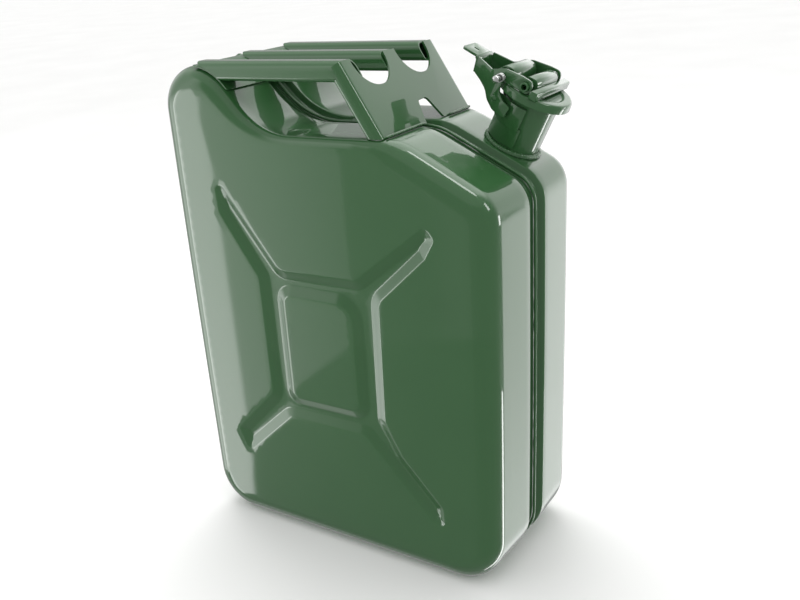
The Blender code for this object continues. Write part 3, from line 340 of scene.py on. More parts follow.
@contextmanager
def opened(mesh: bpy.types.Mesh) -> Iterator[bmesh.types.BMesh]:
    """Open a mesh for editing, and write it back with its faces pointing outwards.

    Args:
        mesh: the mesh that changes.

    Yields:
        The open mesh.
    """
    work = bmesh.new()
    work.from_mesh(mesh)
    yield work
    bmesh.ops.recalc_face_normals(work, faces=work.faces)
    work.to_mesh(mesh)
    work.free()


def grid_mesh(
    name: str, points: Array, wrap_rows: bool = False, caps: Sequence[int] = ()
) -> bpy.types.Mesh:
    """Skin a grid of points with quads.

    Quad (i, j) joins the points (i, j), (i, j + 1), (i + 1, j + 1) and (i + 1, j), and the last
    column is joined to the first. A cap is one flat face over a row.

    Args:
        name: the mesh's name.
        points: array of rows, columns and three coordinates.
        wrap_rows: join the last row to the first.
        caps: the rows that are closed.

    Returns:
        The mesh, with its faces pointing outwards.
    """
    rows, columns = points.shape[:2]
    index = np.arange(rows * columns).reshape(rows, columns)
    low = index if wrap_rows else index[:-1]
    high = np.roll(index, -1, axis=0) if wrap_rows else index[1:]
    quads = np.stack([low, np.roll(low, -1, axis=1), np.roll(high, -1, axis=1), high], axis=-1)
    faces = quads.reshape(-1, 4).tolist() + [index[row].tolist() for row in caps]
    mesh = bpy.data.meshes.new(name)
    mesh.from_pydata(points.reshape(-1, 3).tolist(), [], faces)
    # Opening the mesh is enough to turn its faces outwards.
    with opened(mesh):
        return mesh


def as_object(name: str, data: bpy.types.ID) -> bpy.types.Object:
    """Link a mesh, a camera or a light to the scene as an object at the origin.

    Args:
        name: the object's name.
        data: what it shows.

    Returns:
        The object.
    """
    item = bpy.data.objects.new(name, data)
    bpy.context.scene.collection.objects.link(item)
    return item


def settled(item: bpy.types.Object) -> bpy.types.Object:
    """Apply an object's modifiers to its mesh.

    Args:
        item: the object that changes.

    Returns:
        The same object.
    """
    graph = bpy.context.evaluated_depsgraph_get()
    made = bpy.data.meshes.new_from_object(item.evaluated_get(graph))
    item.modifiers.clear()
    item.data = made
    return item


def cut_by(item: bpy.types.Object, *tools: bpy.types.Mesh) -> bpy.types.Object:
    """Cut meshes out of an object.

    Args:
        item: the object that changes.
        tools: closed meshes.

    Returns:
        The object, with the result in its mesh.
    """
    for mesh in tools:
        tool = as_object("tool", mesh)
        step = item.modifiers.new("step", "BOOLEAN")
        step.operation = "DIFFERENCE"
        step.object = tool
        settled(item)
        bpy.data.objects.remove(tool)
    return item


def shaded(item: bpy.types.Object, angle_deg: float = 32.0) -> bpy.types.Object:
    """Shade an object smooth and keep the edges sharper than an angle.

    Args:
        item: the object that changes.
        angle_deg: least angle of an edge that stays sharp.

    Returns:
        The same object.
    """
    item.data.shade_smooth()
    item.data.set_sharp_from_angle(angle=math.radians(angle_deg))
    return item


def edge_rounded(
    item: bpy.types.Object, width: float, segments: int = 2, angle_deg: float = 32.0
) -> bpy.types.Object:
    """Round off the sharp edges of an object.

    Small leftovers of cutting are merged and flat neighbours are made one face first, so that the
    rounding runs evenly.

    Args:
        item: the object.
        width: how far the rounding reaches from each edge.
        segments: faces across the rounding.
        angle_deg: least angle of an edge that is rounded.

    Returns:
        The object with its rounding applied.
    """
    with opened(item.data) as work:
        bmesh.ops.remove_doubles(work, verts=work.verts, dist=0.02 * MM)
        flat = math.radians(0.6)
        bmesh.ops.dissolve_limit(work, angle_limit=flat, verts=work.verts, edges=work.edges)
    item.data.shade_smooth()
    bevel = item.modifiers.new("edge", "BEVEL")
    bevel.width = width
    bevel.segments = segments
    bevel.limit_method = "ANGLE"
    bevel.angle_limit = math.radians(angle_deg)
    bevel.harden_normals = True
    return settled(item)


def frame_copy(node: str, name: str) -> bpy.types.Object:
    """Copy a node of the frame as a new object, with its loose triangles merged.

    Args:
        node: the node's name.
        name: the new object's name.

    Returns:
        The copy, free of its body.
    """
    mesh = bpy.data.objects[node].data.copy()
    mesh.materials.clear()
    with opened(mesh) as work:
        bmesh.ops.remove_doubles(work, verts=work.verts, dist=0.002 * MM)
    if mesh.has_custom_normals:
        mesh.normals_split_custom_set([(0.0, 0.0, 0.0)] * len(mesh.loops))
    return as_object(name, mesh)


def signed_distance(points: Array, outline: Array) -> Array:
    """How far points lie inside a closed outline.

    The distance to the outline is the least distance to one of its edges, and a point lies inside
    where a level ray from it crosses the outline an odd number of times.

    Args:
        points: places, one per row.
        outline: corners of the closed outline, one per row.

    Returns:
        Distances, positive inside and negative outside.
    """
    edge = np.roll(outline, -1, axis=0) - outline
    length = (edge**2).sum(axis=1)
    rows_at_once = 8000
    found = []
    for part in np.array_split(points, max(1, len(points) // rows_at_once)):
        reach = part[:, None] - outline[None]
        share = np.clip((reach * edge).sum(axis=2) / length, 0, 1)
        gap = ((reach - share[..., None] * edge) ** 2).sum(axis=2).min(axis=1)
        rising = (outline[:, 1] > part[:, None, 1]) != (outline[:, 1] + edge[:, 1] > part[:, None, 1])
        level = np.where(edge[:, 1] == 0, 1, edge[:, 1])
        crossing = outline[:, 0] + edge[:, 0] * (part[:, None, 1] - outline[:, 1]) / level
        inside = ((rising & (part[:, None, 0] < crossing)).sum(axis=1) % 2) == 1
        found.append(np.where(inside, 1.0, -1.0) * np.sqrt(gap))
    return np.concatenate(found)


def soft_ramp(distance: Array, run: float, rounding: float) -> Array:
    """A ramp from 0 to 1 with rounded ends.

    q(s) is 0 before -r, (s + r) squared over 4 r up to r, and s after it; the ramp is
    (q(s) - q(s - run)) / run.

    Args:
        distance: where along the ramp, from its start.
        run: length of the ramp.
        rounding: half the length of each rounded end.

    Returns:
        The share of the ramp's height at each place.
    """

    def eased(place: Array) -> Array:
        """A corner at zero, eased over the rounding."""
        bend = (place + rounding) ** 2 / (4 * rounding)
        return np.where(place < -rounding, 0, np.where(place > rounding, place, bend))

    return (eased(distance) - eased(distance - run)) / run


def unevenness(along: Array, seed: int) -> Array:
    """A smooth, irregular wave that closes on itself, between about -1 and 1.

    It is the sum of seven sines of whole numbers of turns, with phases and heights from a fixed
    seed.

    Args:
        along: place round the loop, from 0 to 1.
        seed: picks the sines.

    Returns:
        The height of the wave at each place.
    """
    count, fewest, most, lift = 7, 9, 120, 1.6
    source = np.random.default_rng(seed)
    turns = source.integers(fewest, most, count)
    phase = source.uniform(0, 2 * math.pi, count)
    height = source.uniform(0.4, 1.0, count)
    waves = height * np.sin(2 * math.pi * along[..., None] * turns + phase)
    return waves.sum(axis=-1) / height.sum() * lift


# Frames of the sloping parts


@dataclass(frozen=True)
class SlopedFrame:
    """A frame with three square directions: first, across (along Y) and third."""

    origin: Spot
    first: Spot
    third: Spot

    def place(self, first: Array, across: Array, third: Array) -> Array:
        """Points of the world for places along the frame's three directions.

        Args:
            first: how far along the first direction.
            across: how far along Y.
            third: how far along the third direction.

        Returns:
            The points, with their coordinates on a new last axis.
        """
        a, b, c = (part[..., None] for part in np.broadcast_arrays(first, across, third))
        along, aside, up = (np.array(way) for way in (self.first, (0.0, 1.0, 0.0), self.third))
        return np.array(self.origin) + a * along + b * aside + c * up


# Pieces that are fused or touch on the real can stand this far apart, as in the frame.
CLEARANCE = 0.3 * MM
EDGE_ROUNDING = 0.35 * MM
MIDDLE_X = -3.75 * MM
RECESS = 411 * MM
NECK_Y = 43 * MM
PLATE_FOOT = 68.25 * MM
SHOULDER_SLOPE = math.radians(26.4)
PLATE_LEAN = math.radians(57.6)
NECK_FRAME = SlopedFrame(
    (126.25 * MM, NECK_Y, 387.99 * MM),
    (math.cos(SHOULDER_SLOPE), 0.0, -math.sin(SHOULDER_SLOPE)),
    (math.sin(SHOULDER_SLOPE), 0.0, math.cos(SHOULDER_SLOPE)),
)
PLATE_FRAME = SlopedFrame(
    (PLATE_FOOT, 0.0, RECESS),
    (-math.cos(PLATE_LEAN), 0.0, math.sin(PLATE_LEAN)),
    (math.sin(PLATE_LEAN), 0.0, math.cos(PLATE_LEAN)),
)


def turned(
    name: str, profile: Sequence[Corner], segments: int = 96, solid: bool = False
) -> bpy.types.Mesh:
    """Turn a rounded profile about the neck's axis.

    A point of radius r and rise h becomes r cos(a) down the shoulder, r sin(a) across and h along
    the axis, for every angle a.

    Args:
        name: the mesh's name.
        profile: (radius, rise, rounding) corners.
        segments: points round the axis.
        solid: the profile's first and last corner lie on the axis.

    Returns:
        A closed mesh.
    """
    line, _ = rounded_path(profile, 15, closed=not solid)
    if solid:
        line = line[1:-1]
    angle = np.arange(segments) / segments * 2 * math.pi
    radius, rise = line[:, 0, None], line[:, 1, None]
    points = NECK_FRAME.place(radius * np.cos(angle), radius * np.sin(angle), rise)
    return grid_mesh(name, points, wrap_rows=not solid, caps=ENDS if solid else ())


def pin_profile(
    name: str, centre: tuple[float, float], profile: Array, hollow: bool = False
) -> bpy.types.Mesh:
    """Turn a profile about an axis along Y.

    A point (y, r) becomes r cos(a) and r sin(a) about the centre, at y across.

    Args:
        name: the mesh's name.
        centre: the axis's place down the shoulder and along the neck.
        profile: rows of (place across, radius).
        hollow: the profile is a closed loop round a bore.

    Returns:
        A closed mesh.
    """
    segments = 48
    angle = np.arange(segments) / segments * 2 * math.pi
    across, radius = profile[:, 0, None], profile[:, 1, None]
    down, rise = centre[0] + radius * np.cos(angle), centre[1] + radius * np.sin(angle)
    points = NECK_FRAME.place(down, across, rise)
    return grid_mesh(name, points, wrap_rows=hollow, caps=() if hollow else ENDS)


def swept_rod(name: str, path: Array, radius: Array, sides: int) -> bpy.types.Mesh:
    """Carry a circle along a path.

    At each point the circle lies in the plane of two directions square to the path: the cross
    product of the path's direction with Y or Z, and the cross product of that with the direction.

    Args:
        name: the mesh's name.
        path: points, one per row.
        radius: radius at each point.
        sides: points round the circle.

    Returns:
        A closed mesh.
    """
    steep = 0.8
    way = np.gradient(path, axis=0)
    way = way / np.linalg.norm(way, axis=1)[:, None]
    pole = np.where(np.abs(way[:, 1:2]) < steep, [[0.0, 1.0, 0.0]], [[0.0, 0.0, 1.0]])
    side = np.cross(way, pole)
    side = side / np.linalg.norm(side, axis=1)[:, None]
    up = np.cross(side, way)
    angle = np.arange(sides) / sides * 2 * math.pi
    ring = np.cos(angle)[None, :, None] * side[:, None] + np.sin(angle)[None, :, None] * up[:, None]
    return grid_mesh(name, path[:, None] + radius[:, None, None] * ring, caps=ENDS)


# Hand-over to the frame


@dataclass
class Workshop:
    """Gives each piece its finish and its body, and hides the frame's node that it stands for."""

    materials: dict[str, bpy.types.Material] = field(default_factory=dict)

    def deliver(self, item: bpy.types.Object, body: Body, node: str, finish: Finish) -> None:
        """Give a finished piece its material and body, and hide the frame's node that it replaces.

        Args:
            item: the piece, in place.
            body: the body that carries it.
            node: the node it stands for.
            finish: its finish, whose material is made when it is first used.
        """
        if finish.name not in self.materials:
            self.materials[finish.name] = finish.material()
        item.data.materials.clear()
        item.data.materials.append(self.materials[finish.name])
        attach(item, body.value)
        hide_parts(node)
        log.info("%s: %d faces on %s", item.name, len(item.data.polygons), body.value)


# Body


@dataclass
class CanBody:
    """The two pressed halves and the weld bead between them."""

    workshop: Workshop
    width: float = 345 * MM
    depth: float = 165 * MM
    height: float = 467 * MM
    recess_start: float = 58 * MM
    recess_end: float = 80.49 * MM
    ramp: float = math.radians(46.2)
    ramp_end: float = -60 * MM
    upward: float = 0.3
    foot_radius: float = 46 * MM
    shoulder_radius: float = 30 * MM
    brow_radius: float = 60 * MM
    recess_radius: float = 83 * MM
    hump_radius: float = 50 * MM
    back_radius: float = 38 * MM
    taper: float = 2 * MM
    bulge: float = 1.6 * MM
    sheet: float = 1.2 * MM
    face_radius: float = 20 * MM
    groove_half: float = 12.5 * MM
    groove_depth: float = 6 * MM
    groove_slope: float = 2 * MM
    groove_radius: float = 1.6 * MM
    flange_inset: float = 3.9 * MM
    seam_gap: float = 0.3 * MM
    neck_hole: float = 23.3 * MM
    neck_hole_reach: float = 9 * MM
    bead_radius: float = 1.5 * MM
    bead_mean: float = 0.93
    bead_wave: float = 0.09
    bead_ripple: float = 0.05
    bead_pitch: float = 2.6 * MM
    stop_x: float = -137 * MM
    stop_length: float = 6 * MM
    stop_rise: float = 1.5
    stop_wave: float = 0.4
    press_depth: float = 4.2 * MM
    press_run: float = 9.6 * MM
    press_rounding: float = 1.2 * MM
    face_pitch: float = 6.5 * MM
    rim_margin: float = 3 * MM
    fold_margin: float = 2 * MM
    crown: float = 0.12 * MM
    crown_reach: float = 90 * MM
    tight_places: tuple[tuple[float, float], ...] = (
        (-135 * MM, 1.0),
        (-100 * MM, 0.75),
        (-60 * MM, 0.5),
        (-30 * MM, 0.38),
        (45 * MM, 0.38),
        (65 * MM, 0.55),
        (85 * MM, 1.0),
    )
    press_shares: tuple[Corner, ...] = (
        (-0.151, 0.285, 0.03),
        (0.104, 0.287, 0.03),
        (0.308, 0.126, 0.02),
        (0.350, 0.117, 0.02),
        (0.345, 0.169, 0.02),
        (0.226, 0.263, 0.05),
        (0.176, 0.332, 0.02),
        (0.181, 0.580, 0.035),
        (0.322, 0.677, 0.02),
        (0.352, 0.716, 0.02),
        (0.323, 0.742, 0.02),
        (0.110, 0.621, 0.03),
        (-0.133, 0.619, 0.03),
        (-0.270, 0.752, 0.04),
        (-0.334, 0.808, 0.02),
        (-0.328, 0.720, 0.05),
        (-0.212, 0.593, 0.03),
        (-0.212, 0.336, 0.03),
        (-0.368, 0.224, 0.02),
        (-0.335, 0.165, 0.02),
    )
    island_shares: tuple[Corner, ...] = (
        (-0.129, 0.340, 0.014),
        (0.088, 0.342, 0.02),
        (0.088, 0.562, 0.045),
        (-0.127, 0.562, 0.02),
    )

    def outline(self) -> tuple[Array, Array]:
        """The can's outline seen from the front.

        It runs along the foot, up the right wall, up the shoulder, along the recess, up the ramp to
        the hump and down the left wall.

        Returns:
            The points as (x, z) rows, and their outward normals.
        """
        half = self.width / 2
        end = RECESS - (half - self.recess_end) * math.tan(SHOULDER_SLOPE)
        reach = (self.height - RECESS) / math.tan(self.ramp)
        corners = (
            (-half, 0.0, self.foot_radius),
            (half, 0.0, self.foot_radius),
            (half, end, self.shoulder_radius),
            (self.recess_end, RECESS, self.brow_radius),
            (-self.recess_start, RECESS, self.recess_radius),
            (-self.recess_start - reach, self.height, self.hump_radius),
            (-half, self.height, self.back_radius),
        )
        return rounded_path(corners, 4.5, 2.9 * MM)

    def is_on_top(self, normal: Array) -> Array:
        """Which places of the outline face upwards, by the upward part of their normals."""
        return normal[:, 1] > self.upward

    def tightness(self) -> Array:
        """How tight the face's fillet is at each point of the outline.

        The share is one nearly everywhere and sinks towards the recess, where it stays low.

        Returns:
            The share of the fillet's full radius.
        """
        line, normal = self.outline()
        places, shares = zip(*self.tight_places)
        return np.where(self.is_on_top(normal), np.interp(line[:, 0], places, shares), 1.0)

    def ramp_line(self, off: float) -> Array:
        """The hump's top and the ramp behind the handle.

        Args:
            off: distance of the line from the can.

        Returns:
            The line as (x, z) rows, from left to right.
        """
        line, normal = self.outline()
        placed = line + off * normal
        is_behind = self.is_on_top(normal) & (placed[:, 0] < self.ramp_end)
        kept = placed[is_behind] + np.array([MIDDLE_X, 0.0])
        return kept[np.argsort(kept[:, 0])]

    def drawn_in(self, x: Array, z: Array, share: Array) -> Array:
        """Bulge and taper the side walls.

        The wall moves in by the bulge times the square of the height from the middle, plus the
        taper times the share, all times the fourth power of the distance from the middle.

        Args:
            x: places before.
            z: their heights.
            share: how much of the taper they get.

        Returns:
            The places after.
        """
        level = 2 * z / self.height - 1
        weight = (2 * x / self.width) ** 4
        return x - np.sign(x) * (self.bulge * level**2 + self.taper * share) * weight

    def press_outline(self, shares: Sequence[Corner]) -> tuple[Array, Array]:
        """Points and outward normals of a pressed outline, from shares of the can's size."""
        corners = [(u * self.width, v * self.height, r * self.width) for u, v, r in shares]
        return rounded_path(corners, 7, 1.25 * MM)

    def pressing(self, places: Array) -> Array:
        """How deep the pressed cross and frame lie.

        The depth follows a rounded ramp of the distance inside the outer outline, or outside the
        island, whichever is less.

        Args:
            places: places of the face as (x, z) rows.

        Returns:
            The depth at each.
        """
        inside = signed_distance(places, self.press_outline(self.press_shares)[0])
        outside = -signed_distance(places, self.press_outline(self.island_shares)[0])
        reach = np.minimum(inside, outside) - self.press_rounding
        return self.press_depth * soft_ramp(reach, self.press_run, self.press_rounding)

    def face_places(self, rim: Array) -> Array:
        """Places all over a face, close together across the folds of the pressing.

        The rim comes first. Then come the two pressed outlines, drawn inwards or outwards to a few
        distances round both folds of the slope, less the points that a corner folds over. A field
        of even triangles fills what is left.

        Args:
            rim: the edge of the flat face, one point per row.

        Returns:
            The places, one per row.
        """
        rounding, run = self.press_rounding, self.press_run
        fold = np.linspace(-1, 1, 5) * rounding
        lines = rounding + np.concatenate([fold, [run / 2], run + fold])
        folded_over = 0.04 * MM
        low, high = rim.min(axis=0), rim.max(axis=0)
        rows = np.arange(low[1], high[1], self.face_pitch * math.sqrt(3) / 2)
        columns = np.arange(low[0], high[0], self.face_pitch)
        x = columns[None, :] + (np.arange(len(rows)) % 2)[:, None] * self.face_pitch / 2
        even = np.stack([x, np.broadcast_to(rows[:, None], x.shape)], axis=-1).reshape(-1, 2)
        keep = signed_distance(even, rim) > self.rim_margin
        found = [rim]
        for shares, side in ((self.press_shares, 1), (self.island_shares, -1)):
            line, normal = self.press_outline(shares)
            ring = line - side * lines[:, None, None] * normal
            gap = side * signed_distance(ring.reshape(-1, 2), line).reshape(ring.shape[:2])
            found.append(ring[np.abs(gap - lines[:, None]) < folded_over])
            away = side * signed_distance(even, line)
            keep &= np.abs(away - lines.mean()) > np.ptp(lines) / 2 + self.fold_margin
        return np.concatenate([*found, even[keep]])

    def face_sheet(self, side: int) -> bpy.types.Mesh:
        """The face of one half: triangles between its places, each sunk to the pressing's depth.

        The face also swells outwards by a fraction of a millimetre: one minus the square of what is
        left of the way in from the rim, squared.

        Args:
            side: -1 for the front half, 1 for the rear half.

        Returns:
            The open sheet.
        """
        line, normal = self.outline()
        rim = line - self.face_radius * self.tightness()[:, None] * normal
        places = self.face_places(rim)
        count = len(rim)
        edges = np.stack([np.arange(count), np.roll(np.arange(count), -1)], axis=1)
        corners, _, faces, *_ = delaunay_2d_cdt(places.tolist(), edges.tolist(), [], 1, 1e-9)
        flat = np.array(corners)
        way = np.clip(signed_distance(flat, rim) / self.crown_reach, 0, 1)
        depth = self.depth / 2 - self.pressing(flat) + self.crown * (1 - (1 - way) ** 2) ** 2
        x = self.drawn_in(flat[:, 0], flat[:, 1], np.ones(1)) + MIDDLE_X
        mesh = bpy.data.meshes.new("half_shell")
        mesh.from_pydata(np.stack([x, side * depth, flat[:, 1]], axis=-1).tolist(), [], faces)
        return mesh

    def skin_profile(self) -> tuple[Array, Array]:
        """The section of one half from the face's edge to the seam, and the one back inside.

        The fillet is a quarter circle. From it a wall runs to the groove, down its slope, along its
        floor and out over the flange, and the lining follows at the sheet's thickness.

        Returns:
            Both sections as (inset, depth) rows.
        """
        half = self.depth / 2
        angle = np.linspace(0, math.pi / 2, 19)
        inset = self.face_radius * (1 - np.sin(angle))
        fillet = np.stack([inset, half - self.face_radius * (1 - np.cos(angle))], axis=1)
        rim = self.seam_gap / 2
        edge = rim + self.sheet
        end = (self.groove_depth + self.sheet, rim, 0.0)
        skin = (
            (0.0, half - self.face_radius, 0.0),
            (0.0, self.groove_half + self.groove_slope, self.groove_radius),
            (self.groove_depth, self.groove_half, self.groove_radius),
            (self.groove_depth, edge, 1.0 * MM),
            (self.flange_inset, edge, 0.5 * MM),
            (self.flange_inset, rim, 0.0),
            end,
        )
        lining = (
            end,
            (self.groove_depth + self.sheet, self.groove_half, 0.0),
            (self.sheet, self.groove_half + self.groove_slope + self.sheet, 0.0),
            (self.sheet, half - self.sheet, self.face_radius - self.sheet),
            (self.face_radius + 4 * MM, half - self.sheet, 0.0),
        )
        outer, _ = rounded_path(skin, 22, 9 * MM, closed=False)
        inner, _ = rounded_path(lining, 22, 60 * MM, closed=False)
        return np.concatenate([fillet, outer[1:]]), inner[1:]

    def half_shell(self, side: int) -> bpy.types.Mesh:
        """One pressed half as a closed skin with real wall thickness.

        From the face's rim rings follow the section: the outline moved in by the inset, at the
        section's depth, both drawn tighter where the fillet is. The face closes the first ring.

        Args:
            side: -1 for the front half, 1 for the rear half.

        Returns:
            The mesh.
        """
        line, normal = self.outline()
        rings = []
        start = self.groove_half + self.groove_slope
        end = self.depth / 2 - self.face_radius
        skin, lining = self.skin_profile()
        for section in (skin, lining):
            is_fillet = (section is skin) & (section[:, 1, None] > end)
            tight = np.where(is_fillet, self.tightness(), 1.0)
            inset = section[:, 0, None] * tight
            depth = self.depth / 2 - (self.depth / 2 - section[:, 1, None]) * tight
            share = np.clip((depth - start) / (end - start), 0, 1)
            moved = line - inset[..., None] * normal
            x = self.drawn_in(moved[..., 0], moved[..., 1], share)
            rings.append(np.stack([x, side * depth, moved[..., 1]], axis=-1))
        low = rings[1][-1:].copy()
        low[..., 1] -= side * (self.press_depth + 2 * MM)
        points = np.concatenate([rings[0], rings[1], low])
        points[..., 0] += MIDDLE_X
        shell = self.face_sheet(side)
        with opened(shell) as work:
            work.from_mesh(grid_mesh("walls", points, caps=[LAST_ROW]))
            bmesh.ops.remove_doubles(work, verts=work.verts, dist=0.003 * MM)
        return shell

    def bead(self) -> bpy.types.Mesh:
        """The weld bead round the flanges.

        A circle runs round the outline at a fixed inset. Its radius is a mean plus a slow wave and
        a fine ripple of a few hundredths, and a thicker stop lies on top of the hump, where the
        weld starts and ends: a bell curve of the distance from its middle.

        Returns:
            A closed ring.
        """
        line, normal = self.outline()
        length = np.linalg.norm(np.roll(line, -1, axis=0) - line, axis=1)
        along = np.concatenate([[0.0], np.cumsum(length)])
        fine = np.linspace(0, along[-1], 1400, endpoint=False)
        looped = (np.vstack([part, part[:1]]).T for part in (line, normal))
        place, out = (np.stack([np.interp(fine, along, row) for row in part], axis=1) for part in looped)
        wave = unevenness(fine / along[-1], 11)
        ripple = np.sin(fine / self.bead_pitch * 2 * math.pi)
        stop = np.exp(-(((place[:, 0] - self.stop_x) / self.stop_length) ** 2)) * (place[:, 1] > RECESS)
        size = self.bead_mean + self.bead_wave * wave + self.bead_ripple * ripple
        radius = self.bead_radius * (size + (self.stop_rise + self.stop_wave * wave) * stop)
        inset = self.flange_inset - CLEARANCE - self.bead_radius
        angle = np.arange(12) / 12 * 2 * math.pi
        push = inset - radius[:, None] * np.cos(angle)
        moved = place[:, None] - push[..., None] * out[:, None]
        x = self.drawn_in(moved[..., 0], moved[..., 1], np.zeros(1)) + MIDDLE_X
        y = radius[:, None] * np.sin(angle)
        return grid_mesh("bead", np.stack([x, y, moved[..., 1]], axis=-1), wrap_rows=True)

    def build(self) -> None:
        """Make the halves and the bead and hand them over."""
        front = shaded(as_object("front_half_skin", self.half_shell(-1)))
        self.workshop.deliver(front, Body.CAN, "front_half_shell", SHEET_PAINT)
        rear = as_object("rear_half_skin", self.half_shell(1))
        hole, reach = self.neck_hole, self.neck_hole_reach
        section = ((0, -reach, 0), (hole, -reach, 0), (hole, reach, 0), (0, reach, 0))
        shaded(cut_by(rear, turned("hole", section, solid=True)))
        self.workshop.deliver(rear, Body.CAN, "rear_half_shell", SHEET_PAINT)
        bead = shaded(as_object("seam_weld", self.bead()), 60)
        self.workshop.deliver(bead, Body.CAN, "seam_weld_bead", WELD_PAINT)


# Handle


def rectangle(left: float, right: float, low: float, high: float) -> Array:
    """The four corners of a rectangle, one per row."""
    return np.array([(left, low), (right, low), (right, high), (left, high)])


@dataclass
class CarryHandle:
    """The front plate, the strip on the hump, the three tubes between them and the foot welds."""

    workshop: Workshop
    shell: CanBody
    half_width: float = 76.5 * MM
    top: float = 471.5 * MM
    sheet: float = 2 * MM
    flange_depth: float = 12 * MM
    lip: float = 6 * MM
    lip_share: float = 0.72
    flange_share: float = 0.86
    flange_radius: float = 5 * MM
    scallop_width: float = 50 * MM
    scallop_depth: float = 27 * MM
    scallop_radius: float = 24 * MM
    bar_width: float = 24 * MM
    bar_height: float = 16.5 * MM
    bar_wall: float = 1.5 * MM
    bar_low_radius: float = 4 * MM
    bar_high_radius: float = 7.5 * MM
    ramp_drop: float = 1.2 * MM
    lean_back: float = 1.2
    strip_start: float = -133 * MM
    strip_end: float = 447 * MM
    strip_half: float = 73 * MM
    strip_sheet: float = 1.6 * MM
    plate_rounding: float = 0.45 * MM
    cut_margin: float = 4 * MM
    weld_radius: float = 1.4 * MM
    weld_mean: float = 0.78
    weld_ripple: float = 0.16
    weld_wave: float = 0.10
    weld_pitch: float = 3.4 * MM
    weld_drift: float = 0.25 * MM
    weld_sink: float = 0.2 * MM
    arch_shares: tuple[Corner, ...] = (
        (-0.105, -0.14, 0),
        (0.430, -0.14, 0),
        (0.235, 0.292, 0.05),
        (0.195, 0.312, 0.05),
        (0.022, 0.305, 0.05),
        (-0.040, 0.10, 0.06),
    )

    @property
    def plate_height(self) -> float:
        """Length of the front plate up its slope."""
        return (self.top - RECESS) / math.sin(PLATE_LEAN)

    def plate_prism(self, outline: Array, low: float, high: float) -> bpy.types.Mesh:
        """Carry an outline drawn on the plate out of it.

        Args:
            outline: rows of (across, up).
            low: where it starts, off the plate's front.
            high: where it ends.

        Returns:
            A closed mesh.
        """
        out = np.array([low, high])[:, None]
        points = PLATE_FRAME.place(outline[None, :, 1], outline[None, :, 0], out)
        return grid_mesh("tool", points, caps=ENDS)

    def plate_cuts(self) -> list[bpy.types.Mesh]:
        """What is cut out of the front plate.

        Two scallops in its top, the arch over the seam, the room behind its face that the tubes
        take up, the turned edges above it, and all that lies below the recess.

        Returns:
            The tools.
        """
        height, over = self.plate_height, self.cut_margin
        lobe = (2 * self.half_width - 2 * self.scallop_width) / 3
        gap = (self.scallop_width + lobe) / 2
        floor, top = height - self.scallop_depth, height + over
        tools = []
        for middle in (-gap, gap):
            left, right = middle - self.scallop_width / 2, middle + self.scallop_width / 2
            corners = (
                (left, floor, self.scallop_radius),
                (right, floor, self.scallop_radius),
                (right, top, 0),
                (left, top, 0),
            )
            tools.append(self.plate_prism(rounded_path(corners, 6)[0], -self.flange_radius, over))
        arch, _ = rounded_path([(u * height, v * height, r * height) for u, v, r in self.arch_shares], 10)
        tools.append(self.plate_prism(arch, -self.flange_radius, over))
        behind, wide = -self.flange_depth - over, self.half_width + over
        inside = self.half_width - self.sheet - CLEARANCE / 2
        room = rectangle(-inside, inside, self.lip_share * height, top)
        tools.append(self.plate_prism(room, behind, -self.sheet - CLEARANCE))
        edges = rectangle(-wide, wide, self.flange_share * height, top)
        tools.append(self.plate_prism(edges, behind, -self.flange_radius - self.sheet))
        below = rectangle(-50 * MM, 120 * MM, -40 * MM, CLEARANCE)
        x, y, z = np.broadcast_arrays(
            PLATE_FOOT + below[None, :, 0], np.array([-wide, wide])[:, None], RECESS + below[None, :, 1]
        )
        tools.append(grid_mesh("foot", np.stack([x, y, z], axis=-1), caps=ENDS))
        return tools

    def plate(self) -> bpy.types.Object:
        """The front plate.

        Its section is a sheet folded back at both edges and turned in again, offset to both sides
        of a rounded line. The section is carried up the slope, and notches, arch and foot are cut.

        Returns:
            The plate.
        """
        edge = self.half_width - self.sheet / 2
        back, face = -self.flange_depth, -self.sheet / 2
        corners = (
            (-edge + self.lip, back, 0),
            (-edge, back, self.flange_radius / 2),
            (-edge, face, self.flange_radius),
            (edge, face, self.flange_radius),
            (edge, back, self.flange_radius / 2),
            (edge - self.lip, back, 0),
        )
        line, normal = rounded_path(corners, 9, closed=False)
        section = np.concatenate([line + normal * self.sheet / 2, (line - normal * self.sheet / 2)[::-1]])
        up = np.array([-self.flange_depth, self.plate_height])[:, None]
        points = PLATE_FRAME.place(up, section[None, :, 0], section[None, :, 1])
        item = as_object("handle_plate_skin", grid_mesh("plate", points, caps=ENDS))
        return edge_rounded(cut_by(item, *self.plate_cuts()), self.plate_rounding, 3)

    def strip(self) -> bpy.types.Object:
        """The strip on the hump: a sheet between two lines off the can, carried across.

        Returns:
            The strip.
        """
        sides = []
        for off in (CLEARANCE, CLEARANCE + self.strip_sheet):
            line = self.shell.ramp_line(off)
            sides.append(line[(line[:, 0] > self.strip_start) & (line[:, 1] > self.strip_end)])
        section = np.concatenate([sides[0], sides[1][::-1]])
        ends = [np.insert(section, 1, across, axis=1) for across in (-self.strip_half, self.strip_half)]
        mesh = grid_mesh("handle_strip", np.stack(ends), caps=ENDS)
        return edge_rounded(as_object("handle_strip_skin", mesh), EDGE_ROUNDING)

